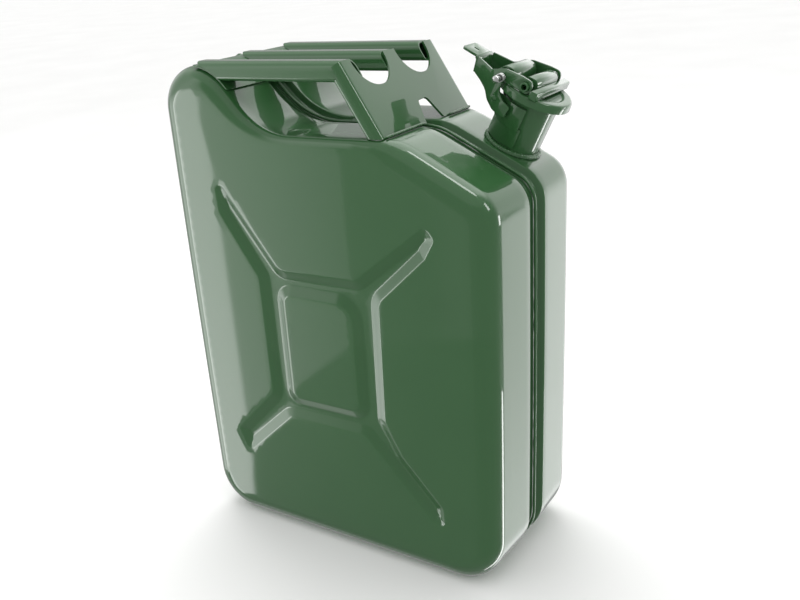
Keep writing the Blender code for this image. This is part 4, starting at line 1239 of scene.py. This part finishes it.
    def bar(self, name: str, middle: float) -> bpy.types.Object:
        """One square tube with rounded edges, its ends cut to the ramp behind and to the plate ahead.

        Above the ramp's steep part the rear end leans back by a fixed share of the height.

        Args:
            name: the object's name.
            middle: its place across.

        Returns:
            The tube.
        """
        half = self.bar_width / 2
        floor = self.top - self.bar_height
        ramp = self.shell.ramp_line(2 * CLEARANCE + self.strip_sheet)
        is_falling = (ramp[:, 1] < ramp[:, 1].max() - self.ramp_drop) & (ramp[:, 0] > self.strip_start)
        ramp = ramp[is_falling][::-1]
        corners = (
            (middle - half, floor, self.bar_low_radius),
            (middle + half, floor, self.bar_low_radius),
            (middle + half, self.top, self.bar_high_radius),
            (middle - half, self.top, self.bar_high_radius),
        )
        line, normal = rounded_path(corners, 10)
        rings = []
        for inset, is_front in ((0.0, False), (0.0, True), (self.bar_wall, True), (self.bar_wall, False)):
            ring = line - inset * normal
            gap = (self.sheet + CLEARANCE) / math.sin(PLATE_LEAN)
            front = PLATE_FOOT - gap - (ring[:, 1] - RECESS) / math.tan(PLATE_LEAN)
            above = np.maximum(ring[:, 1] - ramp[-1, 1], 0)
            rear = np.interp(ring[:, 1], ramp[:, 1], ramp[:, 0]) - self.lean_back * above
            rings.append(np.stack([front if is_front else rear, ring[:, 0], ring[:, 1]], axis=1))
        mesh = grid_mesh(name, np.stack(rings), wrap_rows=True)
        return edge_rounded(as_object(name, mesh), EDGE_ROUNDING, angle_deg=50)

    def weld(self, name: str, low: float, high: float, seed: int) -> bpy.types.Object:
        """A rippled bead along the plate's foot.

        Its radius is a mean plus a sharp ripple every few millimetres plus a slow wave, and it
        closes almost to a point at both ends. It lies in the corner between the plate and the can.

        Args:
            name: the object's name.
            low: where it starts across.
            high: where it ends.
            seed: picks the slow wave.

        Returns:
            The bead.
        """
        along = np.linspace(0, 1, 220)
        y = low + (high - low) * along
        wave = unevenness(along * 0.4, seed)
        ripple = np.abs(np.sin(y / self.weld_pitch * math.pi))
        ends = np.sqrt(np.clip(1 - np.abs(2 * along - 1) ** 14, 0, 1))
        size = self.weld_mean + self.weld_ripple * ripple + self.weld_wave * wave
        radius = self.weld_radius * size * np.maximum(ends, 0.06)
        reach = CLEARANCE + self.weld_radius
        off = reach * (1 - math.cos(PLATE_LEAN)) / math.sin(PLATE_LEAN)
        x = PLATE_FOOT + off + self.weld_drift * wave
        path = np.stack([x, y, np.full_like(y, RECESS + reach - self.weld_sink)], axis=1)
        return shaded(as_object(name, swept_rod(name, path, radius, 20)), 70)

    def build(self) -> None:
        """Make the handle's pieces and hand them over."""
        shop = self.workshop
        shop.deliver(self.plate(), Body.CAN, "handle_front_plate", FITTING_PAINT)
        shop.deliver(self.strip(), Body.CAN, "handle_rear_plate", FITTING_PAINT)
        outer = self.half_width - self.sheet - CLEARANCE - self.bar_width / 2
        for name, middle in (("near", -outer), ("middle", 0.0), ("far", outer)):
            shop.deliver(self.bar(name + "_bar_skin", middle), Body.CAN, name + "_handle_bar", FITTING_PAINT)
        apart = 2.2 * MM
        arch_low = self.arch_shares[0][0] * self.plate_height - apart
        arch_high = self.arch_shares[1][0] * self.plate_height + apart
        edge = self.half_width - self.flange_radius
        for name, low, high, seed in (("near", -edge, arch_low, 3), ("far", arch_high, edge, 5)):
            bead = self.weld(name + "_foot_bead", low, high, seed)
            shop.deliver(bead, Body.CAN, name + "_foot_weld", WELD_PAINT)


# Neck


@dataclass
class FillerNeck:
    """The neck, its weld and the breather tube."""

    workshop: Workshop
    radius: float = 23 * MM
    wall: float = 1.5 * MM
    rise: float = 46.6 * MM
    tail: float = 6 * MM
    lip_radius: float = 24.5 * MM
    lip_drop: float = 3 * MM
    flare_drop: float = 4.5 * MM
    weld_size: float = 3.0 * MM
    weld_foot: float = -1.1 * MM
    weld_ripples: int = 52
    weld_wave: float = 0.10
    weld_ripple: float = 0.05

    def tube(self) -> bpy.types.Mesh:
        """The neck with its rolled lip, turned from one rounded section.

        Returns:
            The tube, with its walls.
        """
        bore = self.radius - self.wall
        section = (
            (bore, -self.tail, 0),
            (self.radius, -self.tail, 0),
            (self.radius, self.rise - self.flare_drop, 1.2 * MM),
            (self.lip_radius, self.rise - self.lip_drop, 1.0 * MM),
            (self.lip_radius, self.rise, 1.4 * MM),
            (bore, self.rise, 1.4 * MM),
        )
        return turned("neck", section, 128)

    def weld(self) -> bpy.types.Mesh:
        """The bead round the neck's foot.

        A quarter circle of the section runs round the neck. Its size is a mean times one plus a
        slow wave and a ripple about every three millimetres.

        Returns:
            A closed ring.
        """
        segments = 360
        turn = np.arange(segments) / segments
        sweep = 2 * math.pi * turn
        ripple = np.sin(2 * math.pi * turn * self.weld_ripples)
        size = self.weld_size * (1 + self.weld_wave * unevenness(turn, 21) + self.weld_ripple * ripple)
        angle = np.linspace(0, math.pi / 2, 7)[:, None]
        inner = self.radius + CLEARANCE
        radius = np.vstack([np.full(segments, inner), inner + size * np.cos(angle)])
        rise = np.vstack([np.full(segments, self.weld_foot), self.weld_foot + size * np.sin(angle)])
        points = NECK_FRAME.place(radius * np.cos(sweep), radius * np.sin(sweep), rise)
        return grid_mesh("neck_weld", points, wrap_rows=True)

    def build(self) -> None:
        """Make the neck's pieces and hand them over."""
        tube = shaded(as_object("neck_skin", self.tube()), 40)
        self.workshop.deliver(tube, Body.CAN, "neck_tube", FITTING_PAINT)
        bead = shaded(as_object("neck_weld_skin", self.weld()), 60)
        self.workshop.deliver(bead, Body.CAN, "neck_base_weld", WELD_PAINT)
        air = shaded(frame_copy("breather_tube", "breather_skin"), 60)
        self.workshop.deliver(air, Body.CAN, "breather_tube", ZINC)


# Closure


@dataclass
class CapClosure:
    """The hinge bracket and everything that swings with the lever.

    Heights are along the neck from its foot, and radii are from its axis.
    """

    workshop: Workshop
    cap_radius: float = 31.8 * MM
    cap_lean: float = 0.6 * MM
    cap_top: float = 51.6 * MM
    cap_rim: float = 44.4 * MM
    sheet: float = 1.2 * MM
    dish_depth: float = 1.2 * MM
    dish_radius: float = 22 * MM
    bridge_rounding: float = 0.3 * MM
    rivet_hole: float = 3.2 * MM
    seal_bore: float = 6 * MM
    seal_radius: float = 27 * MM
    seal_low: float = 46.9 * MM
    washer_radius: float = 16 * MM
    washer_low: float = 45.7 * MM
    washer_high: float = 46.6 * MM
    rivet_radius: float = 2.8 * MM
    rivet_head: float = 5 * MM
    rivet_head_height: float = 0.8 * MM
    rivet_low: float = 44.6 * MM
    cross_reach: float = 32.7 * MM
    cross_radius: float = 3.8 * MM
    cross_bore: float = 2.3 * MM
    pin_radius: float = 2.2 * MM
    pin_head: float = 3.2 * MM
    pin_head_length: float = 5.5 * MM
    pin_travel: float = 2 * MM
    coil_length: float = 6.15 * MM
    coil_turns: int = 3
    coil_pitch: float = 1.65 * MM
    coil_radius: float = 3.2 * MM
    coil_wire: float = 0.6 * MM
    hinge_radius: float = 2.6 * MM
    hinge_head: float = 3.8 * MM
    hinge_head_height: float = 1.3 * MM
    pivot: tuple[float, float] = (-23.2 * MM, 35.4 * MM)
    cross: tuple[float, float] = (-0.8 * MM, 57.6 * MM)
    lock: tuple[float, float] = (-23.3 * MM, 54.3 * MM)

    def cap(self) -> bpy.types.Mesh:
        """The pressed cap: skirt, rounded edge, flat rim and shallow dish, turned from one section.

        Returns:
            The cap, with its walls.
        """
        dish = self.cap_top - self.dish_depth
        waist = self.cap_radius - self.cap_lean
        lead = self.dish_radius + 2 * MM
        section = (
            (self.rivet_hole, dish, 0),
            (self.dish_radius, dish, 1.5 * MM),
            (lead, self.cap_top, 1.5 * MM),
            (waist, self.cap_top, 2.6 * MM),
            (self.cap_radius, self.cap_rim, 0.4 * MM),
            (self.cap_radius - self.sheet, self.cap_rim, 0.4 * MM),
            (waist - self.sheet, self.cap_top - self.sheet, 1.4 * MM),
            (lead, self.cap_top - self.sheet, 0.8 * MM),
            (self.dish_radius, dish - self.sheet, 0.8 * MM),
            (self.rivet_hole, dish - self.sheet, 0),
        )
        return turned("cap", section, 144)

    def seal(self) -> bpy.types.Mesh:
        """The gasket: a flat ring with rounded edges.

        Returns:
            The ring.
        """
        high = self.cap_top - self.dish_depth - self.sheet - CLEARANCE
        section = (
            (self.seal_bore, self.seal_low, 0.3 * MM),
            (self.seal_radius, self.seal_low, 0.8 * MM),
            (self.seal_radius, high, 0.6 * MM),
            (self.seal_bore, high, 0.3 * MM),
        )
        return turned("seal", section)

    def retainer(self) -> bpy.types.Mesh:
        """The washer that holds the gasket: a thin ring with eased edges.

        Returns:
            The ring.
        """
        section = (
            (self.rivet_hole, self.washer_low, 0.2 * MM),
            (self.washer_radius, self.washer_low, 0.3 * MM),
            (self.washer_radius, self.washer_high, 0.2 * MM),
            (self.rivet_hole, self.washer_high, 0.2 * MM),
        )
        return turned("retainer", section)

    def rivet(self) -> bpy.types.Mesh:
        """The rivet through retainer, gasket and cap, domed at both ends.

        Returns:
            The rivet.
        """
        shoulder = self.rivet_low + self.rivet_head_height
        high = self.cap_top - self.dish_depth + CLEARANCE
        section = (
            (0, self.rivet_low, 0),
            (4.6 * MM, self.rivet_low, 0.5 * MM),
            (self.rivet_head, shoulder, 0.1 * MM),
            (self.rivet_radius, shoulder, 0),
            (self.rivet_radius, high, 0),
            (self.rivet_head, high, 0.1 * MM),
            (4.7 * MM, high + self.rivet_head_height, 0.5 * MM),
            (0, high + self.rivet_head_height, 0),
        )
        return turned("rivet", section, 64, solid=True)

    def cross_pin(self) -> bpy.types.Mesh:
        """The hollow cross pin with rounded rims: a closed section turned about its axis.

        Returns:
            The pin.
        """
        reach, outer, bore, ease = self.cross_reach, self.cross_radius, self.cross_bore, 0.5 * MM
        corners = ((-reach, bore, ease), (-reach, outer, ease), (reach, outer, ease), (reach, bore, ease))
        return pin_profile("cross_pin", self.cross, rounded_path(corners, 20)[0], hollow=True)

    def locking_pin(self, near: float) -> bpy.types.Mesh:
        """The locking pin: a rod with a rounded tip and a bulb of a head.

        The head's radius is its greatest one times the sine of the share along it, to a power
        below one, so that its sides are full.

        Args:
            near: the outer face of the near arm, from the middle of the neck.

        Returns:
            The mesh.
        """
        neck = near + CLEARANCE + self.coil_length + self.pin_travel + CLEARANCE
        share = np.linspace(0.06, 0.94, 18)
        bulb = self.pin_head * np.sin(math.pi * share) ** 0.5
        bulb = np.where(share > 0.5, np.maximum(bulb, self.pin_radius), bulb)
        head = np.stack([-neck - self.pin_head_length * (1 - share), bulb], axis=1)
        tip = near + 2.2 * MM
        corners = ((-neck, self.pin_radius, 0), (tip, self.pin_radius, 0.8 * MM), (tip, 0.4 * MM, 0))
        rod, _ = rounded_path(corners, 20, closed=False)
        return pin_profile("locking_pin", self.lock, np.concatenate([head, rod]))

    def spring(self, near: float) -> bpy.types.Mesh:
        """The coil: a round wire along a helix.

        Args:
            near: the outer face of the near arm, from the middle of the neck.

        Returns:
            The mesh.
        """
        share = np.linspace(0, 1, self.coil_turns * 40 + 1)
        angle = 2 * math.pi * self.coil_turns * share
        across = -near - CLEARANCE - self.coil_wire - self.coil_pitch * self.coil_turns * share
        down = self.lock[0] + self.coil_radius * np.cos(angle)
        rise = self.lock[1] + self.coil_radius * np.sin(angle)
        ends = np.clip(np.minimum(share, 1 - share) * 60, 0.35, 1)
        return swept_rod("spring", NECK_FRAME.place(down, across, rise), self.coil_wire * ends, 14)

    def hinge_rivet(self, side: int) -> bpy.types.Mesh:
        """One hinge rivet: its head inside the ear, its shank through the arm.

        Args:
            side: -1 for the near one, 1 for the far one.

        Returns:
            The mesh.
        """
        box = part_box("near_hinge_rivet" if side < 0 else "far_hinge_rivet")
        low, high = (corner.y - NECK_Y for corner in box)
        inner, end = (high, low) if side < 0 else (low, high)
        face = inner + side * self.hinge_head_height
        section = (
            (inner, 2.9 * MM),
            (inner + side * 0.35 * MM, 3.6 * MM),
            (face, self.hinge_head),
            (face, self.hinge_radius),
            (end - side * 0.7 * MM, self.hinge_radius),
            (end - side * 0.2 * MM, 2.3 * MM),
            (end, 1.6 * MM),
        )
        return pin_profile("hinge_rivet", self.pivot, np.array(section))

    def build(self) -> None:
        """Make the closure's pieces and hand them over."""
        shop = self.workshop
        bracket = edge_rounded(frame_copy("hinge_bracket", "bracket_skin"), EDGE_ROUNDING)
        shop.deliver(bracket, Body.CAN, "hinge_bracket", FITTING_PAINT)
        for name, side in (("near", -1), ("far", 1)):
            rivet = shaded(as_object(name + "_rivet_skin", self.hinge_rivet(side)), 50)
            shop.deliver(rivet, Body.CAN, name + "_hinge_rivet", FITTING_PAINT)
        for node, name, rounding in (
            ("lever", "lever_skin", EDGE_ROUNDING),
            ("cap_bridge", "bridge_skin", self.bridge_rounding),
        ):
            sheet = edge_rounded(frame_copy(node, name), rounding)
            shop.deliver(sheet, Body.CLOSURE, node, FITTING_PAINT)
        near = -(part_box("locking_pin_spring")[1].y - NECK_Y) - CLEARANCE
        round_pieces = (
            ("cross_pin_skin", self.cross_pin(), Body.CLOSURE, "cross_pin", FITTING_PAINT),
            ("cap_skin", self.cap(), Body.CLOSURE, "cap", FITTING_PAINT),
            ("seal_skin", self.seal(), Body.CLOSURE, "gasket", RUBBER),
            ("retainer_skin", self.retainer(), Body.CLOSURE, "gasket_retainer", ZINC),
            ("cap_rivet_skin", self.rivet(), Body.CLOSURE, "cap_rivet", ZINC),
            ("coil_skin", self.spring(near), Body.CLOSURE, "locking_pin_spring", ZINC),
            ("locking_pin_skin", self.locking_pin(near), Body.PIN, "locking_pin", ZINC),
        )
        for name, mesh, body, node, finish in round_pieces:
            shop.deliver(shaded(as_object(name, mesh), 42), body, node, finish)


# Studio


def stand(item: bpy.types.Object, place: Spot, right: Array, back: Array) -> None:
    """Move a camera or light to its place and turn it.

    Args:
        item: the camera or light.
        place: where it goes.
        right: the way to its right.
        back: the way behind it.
    """
    matrix = np.eye(4)
    matrix[:3] = np.stack([right, np.cross(back, right), back, np.array(place)], axis=1)
    item.matrix_world = Matrix(matrix.tolist())


def between(
    tree: bpy.types.NodeTree, value: bpy.types.NodeSocket, start: float, end: float
) -> bpy.types.NodeSocket:
    """One where a value lies between two others, and nought elsewhere."""
    span = {0: value, 1: (start + end) / 2, 2: (end - start) / 2}
    return add_node(tree, MATH, span, operation="COMPARE").outputs[0]


@dataclass
class Studio:
    """The camera, the floor, the light and what the gloss of the paint mirrors.

    Screens are (bearing in degrees, brightness) pairs with a ramp between them. A bearing is the
    arc tangent of x over minus y of the way to a screen, and a rise is that way's z.
    """

    place: Spot = (483.15 * MM, -701.7 * MM, 558.5 * MM)
    azimuth_deg: float = 36.6
    elevation_deg: float = 23.8
    roll_deg: float = -4.9
    focal_px: float = 928.9
    centre_px: tuple[float, float] = (350.4, 352.9)
    frame_px: tuple[int, int] = (800, 600)
    sensor_mm: float = 36.0
    floor_rings: tuple[float, ...] = (0.4, 1.2, 4.0, 14.0, 40.0)
    box_place: Spot = (-0.5, 0.5, 1.7)
    box_aim: Spot = (0.0, 0.0, 0.2)
    box_size: tuple[float, float] = (1.2, 1.0)
    box_watts: float = 14.0
    dome: float = 1.08
    brightest: float = 12.0
    low_screens: tuple[Screen, ...] = (
        (-180.0, 1.2),
        (-165.0, 0.6),
        (-84.0, 0.7),
        (-81.0, 2.6),
        (-60.0, 3.2),
        (-50.0, 3.9),
        (-48.2, 4.1),
        (-46.8, 1.3),
        (-44.2, 1.25),
        (-40.5, 0.9),
        (-36.2, 0.5),
        (-31.0, 0.52),
        (-29.0, 0.68),
        (-20.0, 0.55),
        (30.0, 0.5),
        (125.0, 0.5),
        (130.0, 0.35),
        (146.0, 0.35),
        (148.0, 2.0),
        (170.0, 2.0),
        (180.0, 1.2),
    )
    high_screens: tuple[Screen, ...] = (
        (-180.0, 1.75),
        (-160.0, 1.7),
        (-155.0, 0.5),
        (-130.0, 0.4),
        (-110.0, 1.1),
        (-75.0, 1.1),
        (-62.0, 1.3),
        (-48.0, 1.9),
        (-38.0, 1.5),
        (-30.0, 0.5),
        (120.0, 0.5),
        (135.0, 1.2),
        (150.0, 1.5),
        (180.0, 1.75),
    )
    top_screens: tuple[Screen, ...] = (
        (-180.0, 3.0),
        (-150.0, 3.0),
        (-125.0, 0.9),
        (120.0, 0.75),
        (152.0, 3.0),
        (180.0, 3.0),
    )
    ground_screens: tuple[Screen, ...] = (
        (-180.0, 0.45),
        (-78.0, 0.5),
        (-75.0, 1.0),
        (-68.0, 1.0),
        (-65.5, 0.45),
        (180.0, 0.45),
    )
    # From and to a bearing, and how much brighter the low screens are between them.
    low_panels: tuple[tuple[float, float, float], ...] = (
        (-52.0, -48.2, 5.0),
        (-48.2, -44.3, 2.9),
        (-48.2, -36.2, 0.45),
    )
    # From and to a bearing, from and to a rise, and how much brighter it is between them.
    strips: tuple[tuple[float, float, float, float, float], ...] = (
        (105.0, 165.0, 0.966, 0.986, 8.0),
        (89.0, 101.0, 0.48, 0.76, 9.0),
        (130.0, 141.0, -0.99, -0.45, 9.0),
        (130.0, 141.0, -0.24, 0.04, 9.0),
    )
    # The ground's edge slants from one bearing and elevation to another. It drops a little between
    # two bearings, and past the last one no ground is mirrored.
    edge_from_deg: tuple[float, float] = (-50.0, -30.5)
    edge_to_deg: tuple[float, float] = (-36.4, -23.2)
    edge_dip: tuple[float, float, float] = (-48.2, -44.3, 0.065)
    edge_end_deg: float = 128.0
    # Rises between which one ring of screens fades into the next.
    edge_fade: tuple[float, float] = (0.0, -0.006)
    ground_fade: tuple[float, float] = (-0.84, -0.90)
    high_fade: tuple[float, float] = (-0.10, 0.06)
    top_fade: tuple[float, float] = (0.66, 0.76)

    def camera(self) -> None:
        """Put the camera where the photograph's own perspective puts it."""
        az, el, roll = (math.radians(a) for a in (self.azimuth_deg, self.elevation_deg, self.roll_deg))
        back = np.array([math.sin(az) * math.cos(el), -math.cos(az) * math.cos(el), math.sin(el)])
        level = np.array([math.cos(az), math.sin(az), 0.0])
        data = bpy.data.cameras.new("camera")
        data.sensor_width = self.sensor_mm
        data.lens = self.focal_px * self.sensor_mm / self.frame_px[0]
        data.shift_x = (self.frame_px[0] / 2 - self.centre_px[0]) / self.frame_px[0]
        data.shift_y = (self.centre_px[1] - self.frame_px[1] / 2) / self.frame_px[0]
        data.clip_start = 0.01
        data.clip_end = 100
        item = as_object("camera", data)
        stand(item, self.place, level * math.cos(roll) + np.cross(back, level) * math.sin(roll), back)
        bpy.context.scene.camera = item

    def floor(self) -> None:
        """A large round sheet of pale paper on the ground."""
        angle = np.arange(96) / 96 * 2 * math.pi
        radius = np.array(self.floor_rings)[:, None]
        x, y = radius * np.cos(angle), radius * np.sin(angle)
        points = np.stack([x, y, np.zeros_like(x)], axis=-1)
        item = as_object("floor", grid_mesh("floor", points, caps=[FIRST_ROW]))
        if item.data.polygons[0].normal.z < 0:
            item.data.flip_normals()
        item.data.materials.append(StudioPaper().material())
        item.visible_glossy = False

    def light(self) -> None:
        """Hang one large soft box over the can, unseen in the paint."""
        data = bpy.data.lights.new("top_box", "AREA")
        data.shape = "RECTANGLE"
        data.size, data.size_y = self.box_size
        data.energy = self.box_watts
        back = np.array(self.box_place) - np.array(self.box_aim)
        back = back / np.linalg.norm(back)
        right = np.cross([0.0, 0.0, 1.0], back)
        item = as_object("top_box", data)
        stand(item, self.box_place, right / np.linalg.norm(right), back)
        item.visible_camera = False
        item.visible_glossy = False

    def ring_of_screens(
        self, tree: bpy.types.NodeTree, share: bpy.types.NodeSocket, screens: Sequence[Screen]
    ) -> bpy.types.NodeSocket:
        """A ramp over the bearing, with a brightness at each screen's edge.

        Args:
            tree: the world's tree.
            share: the bearing, from 0 at -180 degrees to 1 at 180.
            screens: bearing and brightness of each edge.

        Returns:
            The brightness over the brightest one.
        """
        ramp = add_node(tree, "ShaderNodeValToRGB", {"Fac": share})
        points = ramp.color_ramp.elements
        for index, (bearing_deg, level) in enumerate(screens):
            place = (bearing_deg + 180) / 360
            point = points[index] if index < 2 else points.new(place)
            point.position = place
            shade = level / self.brightest
            point.color = (shade, shade, shade, 1.0)
        return ramp.outputs["Color"]

    def ground_edge(
        self, tree: bpy.types.NodeTree, bearing: bpy.types.NodeSocket
    ) -> bpy.types.NodeSocket:
        """The rise below which the ground is mirrored.

        Args:
            tree: the world's tree.
            bearing: the bearing in radians.

        Returns:
            The rise at each bearing.
        """
        (from_bearing, from_rise), (to_bearing, to_rise) = (
            np.radians(end) for end in (self.edge_from_deg, self.edge_to_deg)
        )
        slant = {
            "Value": bearing,
            "From Min": from_bearing,
            "From Max": to_bearing,
            "To Min": math.sin(from_rise),
            "To Max": math.sin(to_rise),
        }
        edge = add_node(tree, RANGE, slant).outputs["Result"]
        past = {0: bearing, 1: math.radians(self.edge_end_deg)}
        is_past = add_node(tree, MATH, past, operation="GREATER_THAN").outputs[0]
        edge = add_node(tree, MATH, {0: edge, 1: is_past}, operation="SUBTRACT").outputs[0]
        start_deg, end_deg, drop = self.edge_dip
        dips = between(tree, bearing, math.radians(start_deg), math.radians(end_deg))
        return add_node(tree, MATH, {0: dips, 1: -drop, 2: edge}, operation="MULTIPLY_ADD").outputs[0]

    def surroundings(self) -> None:
        """The studio round the can: an even dome that lights it, and the screens that its gloss mirrors.

        A mirrored ray meets one ring of screens below the horizon, one above it and one overhead,
        chosen by its rise, and the ground below a slanting edge. Panels brighten parts of the low
        ring, and strips brighten parts of the whole.
        """
        world = bpy.data.worlds.new("studio")
        bpy.context.scene.world = world
        world.use_nodes = True
        tree = world.node_tree
        way = add_node(tree, "ShaderNodeTexCoord").outputs["Generated"]
        x, y, rise = add_node(tree, "ShaderNodeSeparateXYZ", {"Vector": way}).outputs
        ahead = add_node(tree, MATH, {0: y, 1: -1.0}, operation="MULTIPLY").outputs[0]
        bearing = add_node(tree, MATH, {0: x, 1: ahead}, operation="ARCTAN2").outputs[0]
        turn = {"Value": bearing, "From Min": -math.pi, "From Max": math.pi}
        share = add_node(tree, RANGE, turn).outputs["Result"]
        over = {0: rise, 1: self.ground_edge(tree, bearing)}
        above_edge = add_node(tree, MATH, over, operation="SUBTRACT").outputs[0]
        low, high, top, ground = (
            self.ring_of_screens(tree, share, screens)
            for screens in (self.low_screens, self.high_screens, self.top_screens, self.ground_screens)
        )
        level = low
        for start_deg, end_deg, extra in self.low_panels:
            beside = between(tree, bearing, math.radians(start_deg), math.radians(end_deg))
            lit = {0: beside, 1: extra / self.brightest, 2: level}
            level = add_node(tree, MATH, lit, operation="MULTIPLY_ADD").outputs[0]
        steps = (
            (above_edge, self.edge_fade, ground),
            (rise, self.ground_fade, ground),
            (rise, self.high_fade, high),
            (rise, self.top_fade, top),
        )
        for value, (start, end), beyond in steps:
            fade = {"Value": value, "From Min": start, "From Max": end}
            part = add_node(tree, RANGE, fade).outputs["Result"]
            blend = {"Factor": part, "A": level, "B": beyond}
            level = add_node(tree, MIX, blend, data_type="FLOAT").outputs["Result"]
        for start_deg, end_deg, start, end, extra in self.strips:
            beside = between(tree, bearing, math.radians(start_deg), math.radians(end_deg))
            along = between(tree, rise, start, end)
            both = add_node(tree, MATH, {0: beside, 1: along}, operation="MULTIPLY").outputs[0]
            lit = {0: both, 1: extra / self.brightest, 2: level}
            level = add_node(tree, MATH, lit, operation="MULTIPLY_ADD").outputs[0]
        mirrored = add_node(tree, MATH, {0: level, 1: self.brightest}, operation="MULTIPLY").outputs[0]
        is_mirrored = add_node(tree, "ShaderNodeLightPath").outputs["Is Glossy Ray"]
        blend = {"Factor": is_mirrored, "A": self.dome, "B": mirrored}
        strength = add_node(tree, MIX, blend, data_type="FLOAT").outputs["Result"]
        background = tree.nodes["Background"]
        tree.links.new(strength, background.inputs["Strength"])
        background.inputs["Color"].default_value = (1.0, 1.0, 1.0, 1.0)

    def build(self) -> None:
        """Set up camera, floor, surroundings and light."""
        scene = bpy.context.scene
        scene.view_settings.view_transform = "Standard"
        scene.view_settings.look = "None"
        self.camera()
        self.floor()
        self.surroundings()
        self.light()


def main() -> None:
    """Build every sub-assembly in order."""
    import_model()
    workshop = Workshop()
    shell = CanBody(workshop)
    for part in (shell, CarryHandle(workshop, shell), FillerNeck(workshop), CapClosure(workshop)):
        part.build()
        log.info("built %s", type(part).__name__)
    Studio().build()


if __name__ == "__main__":
    main()
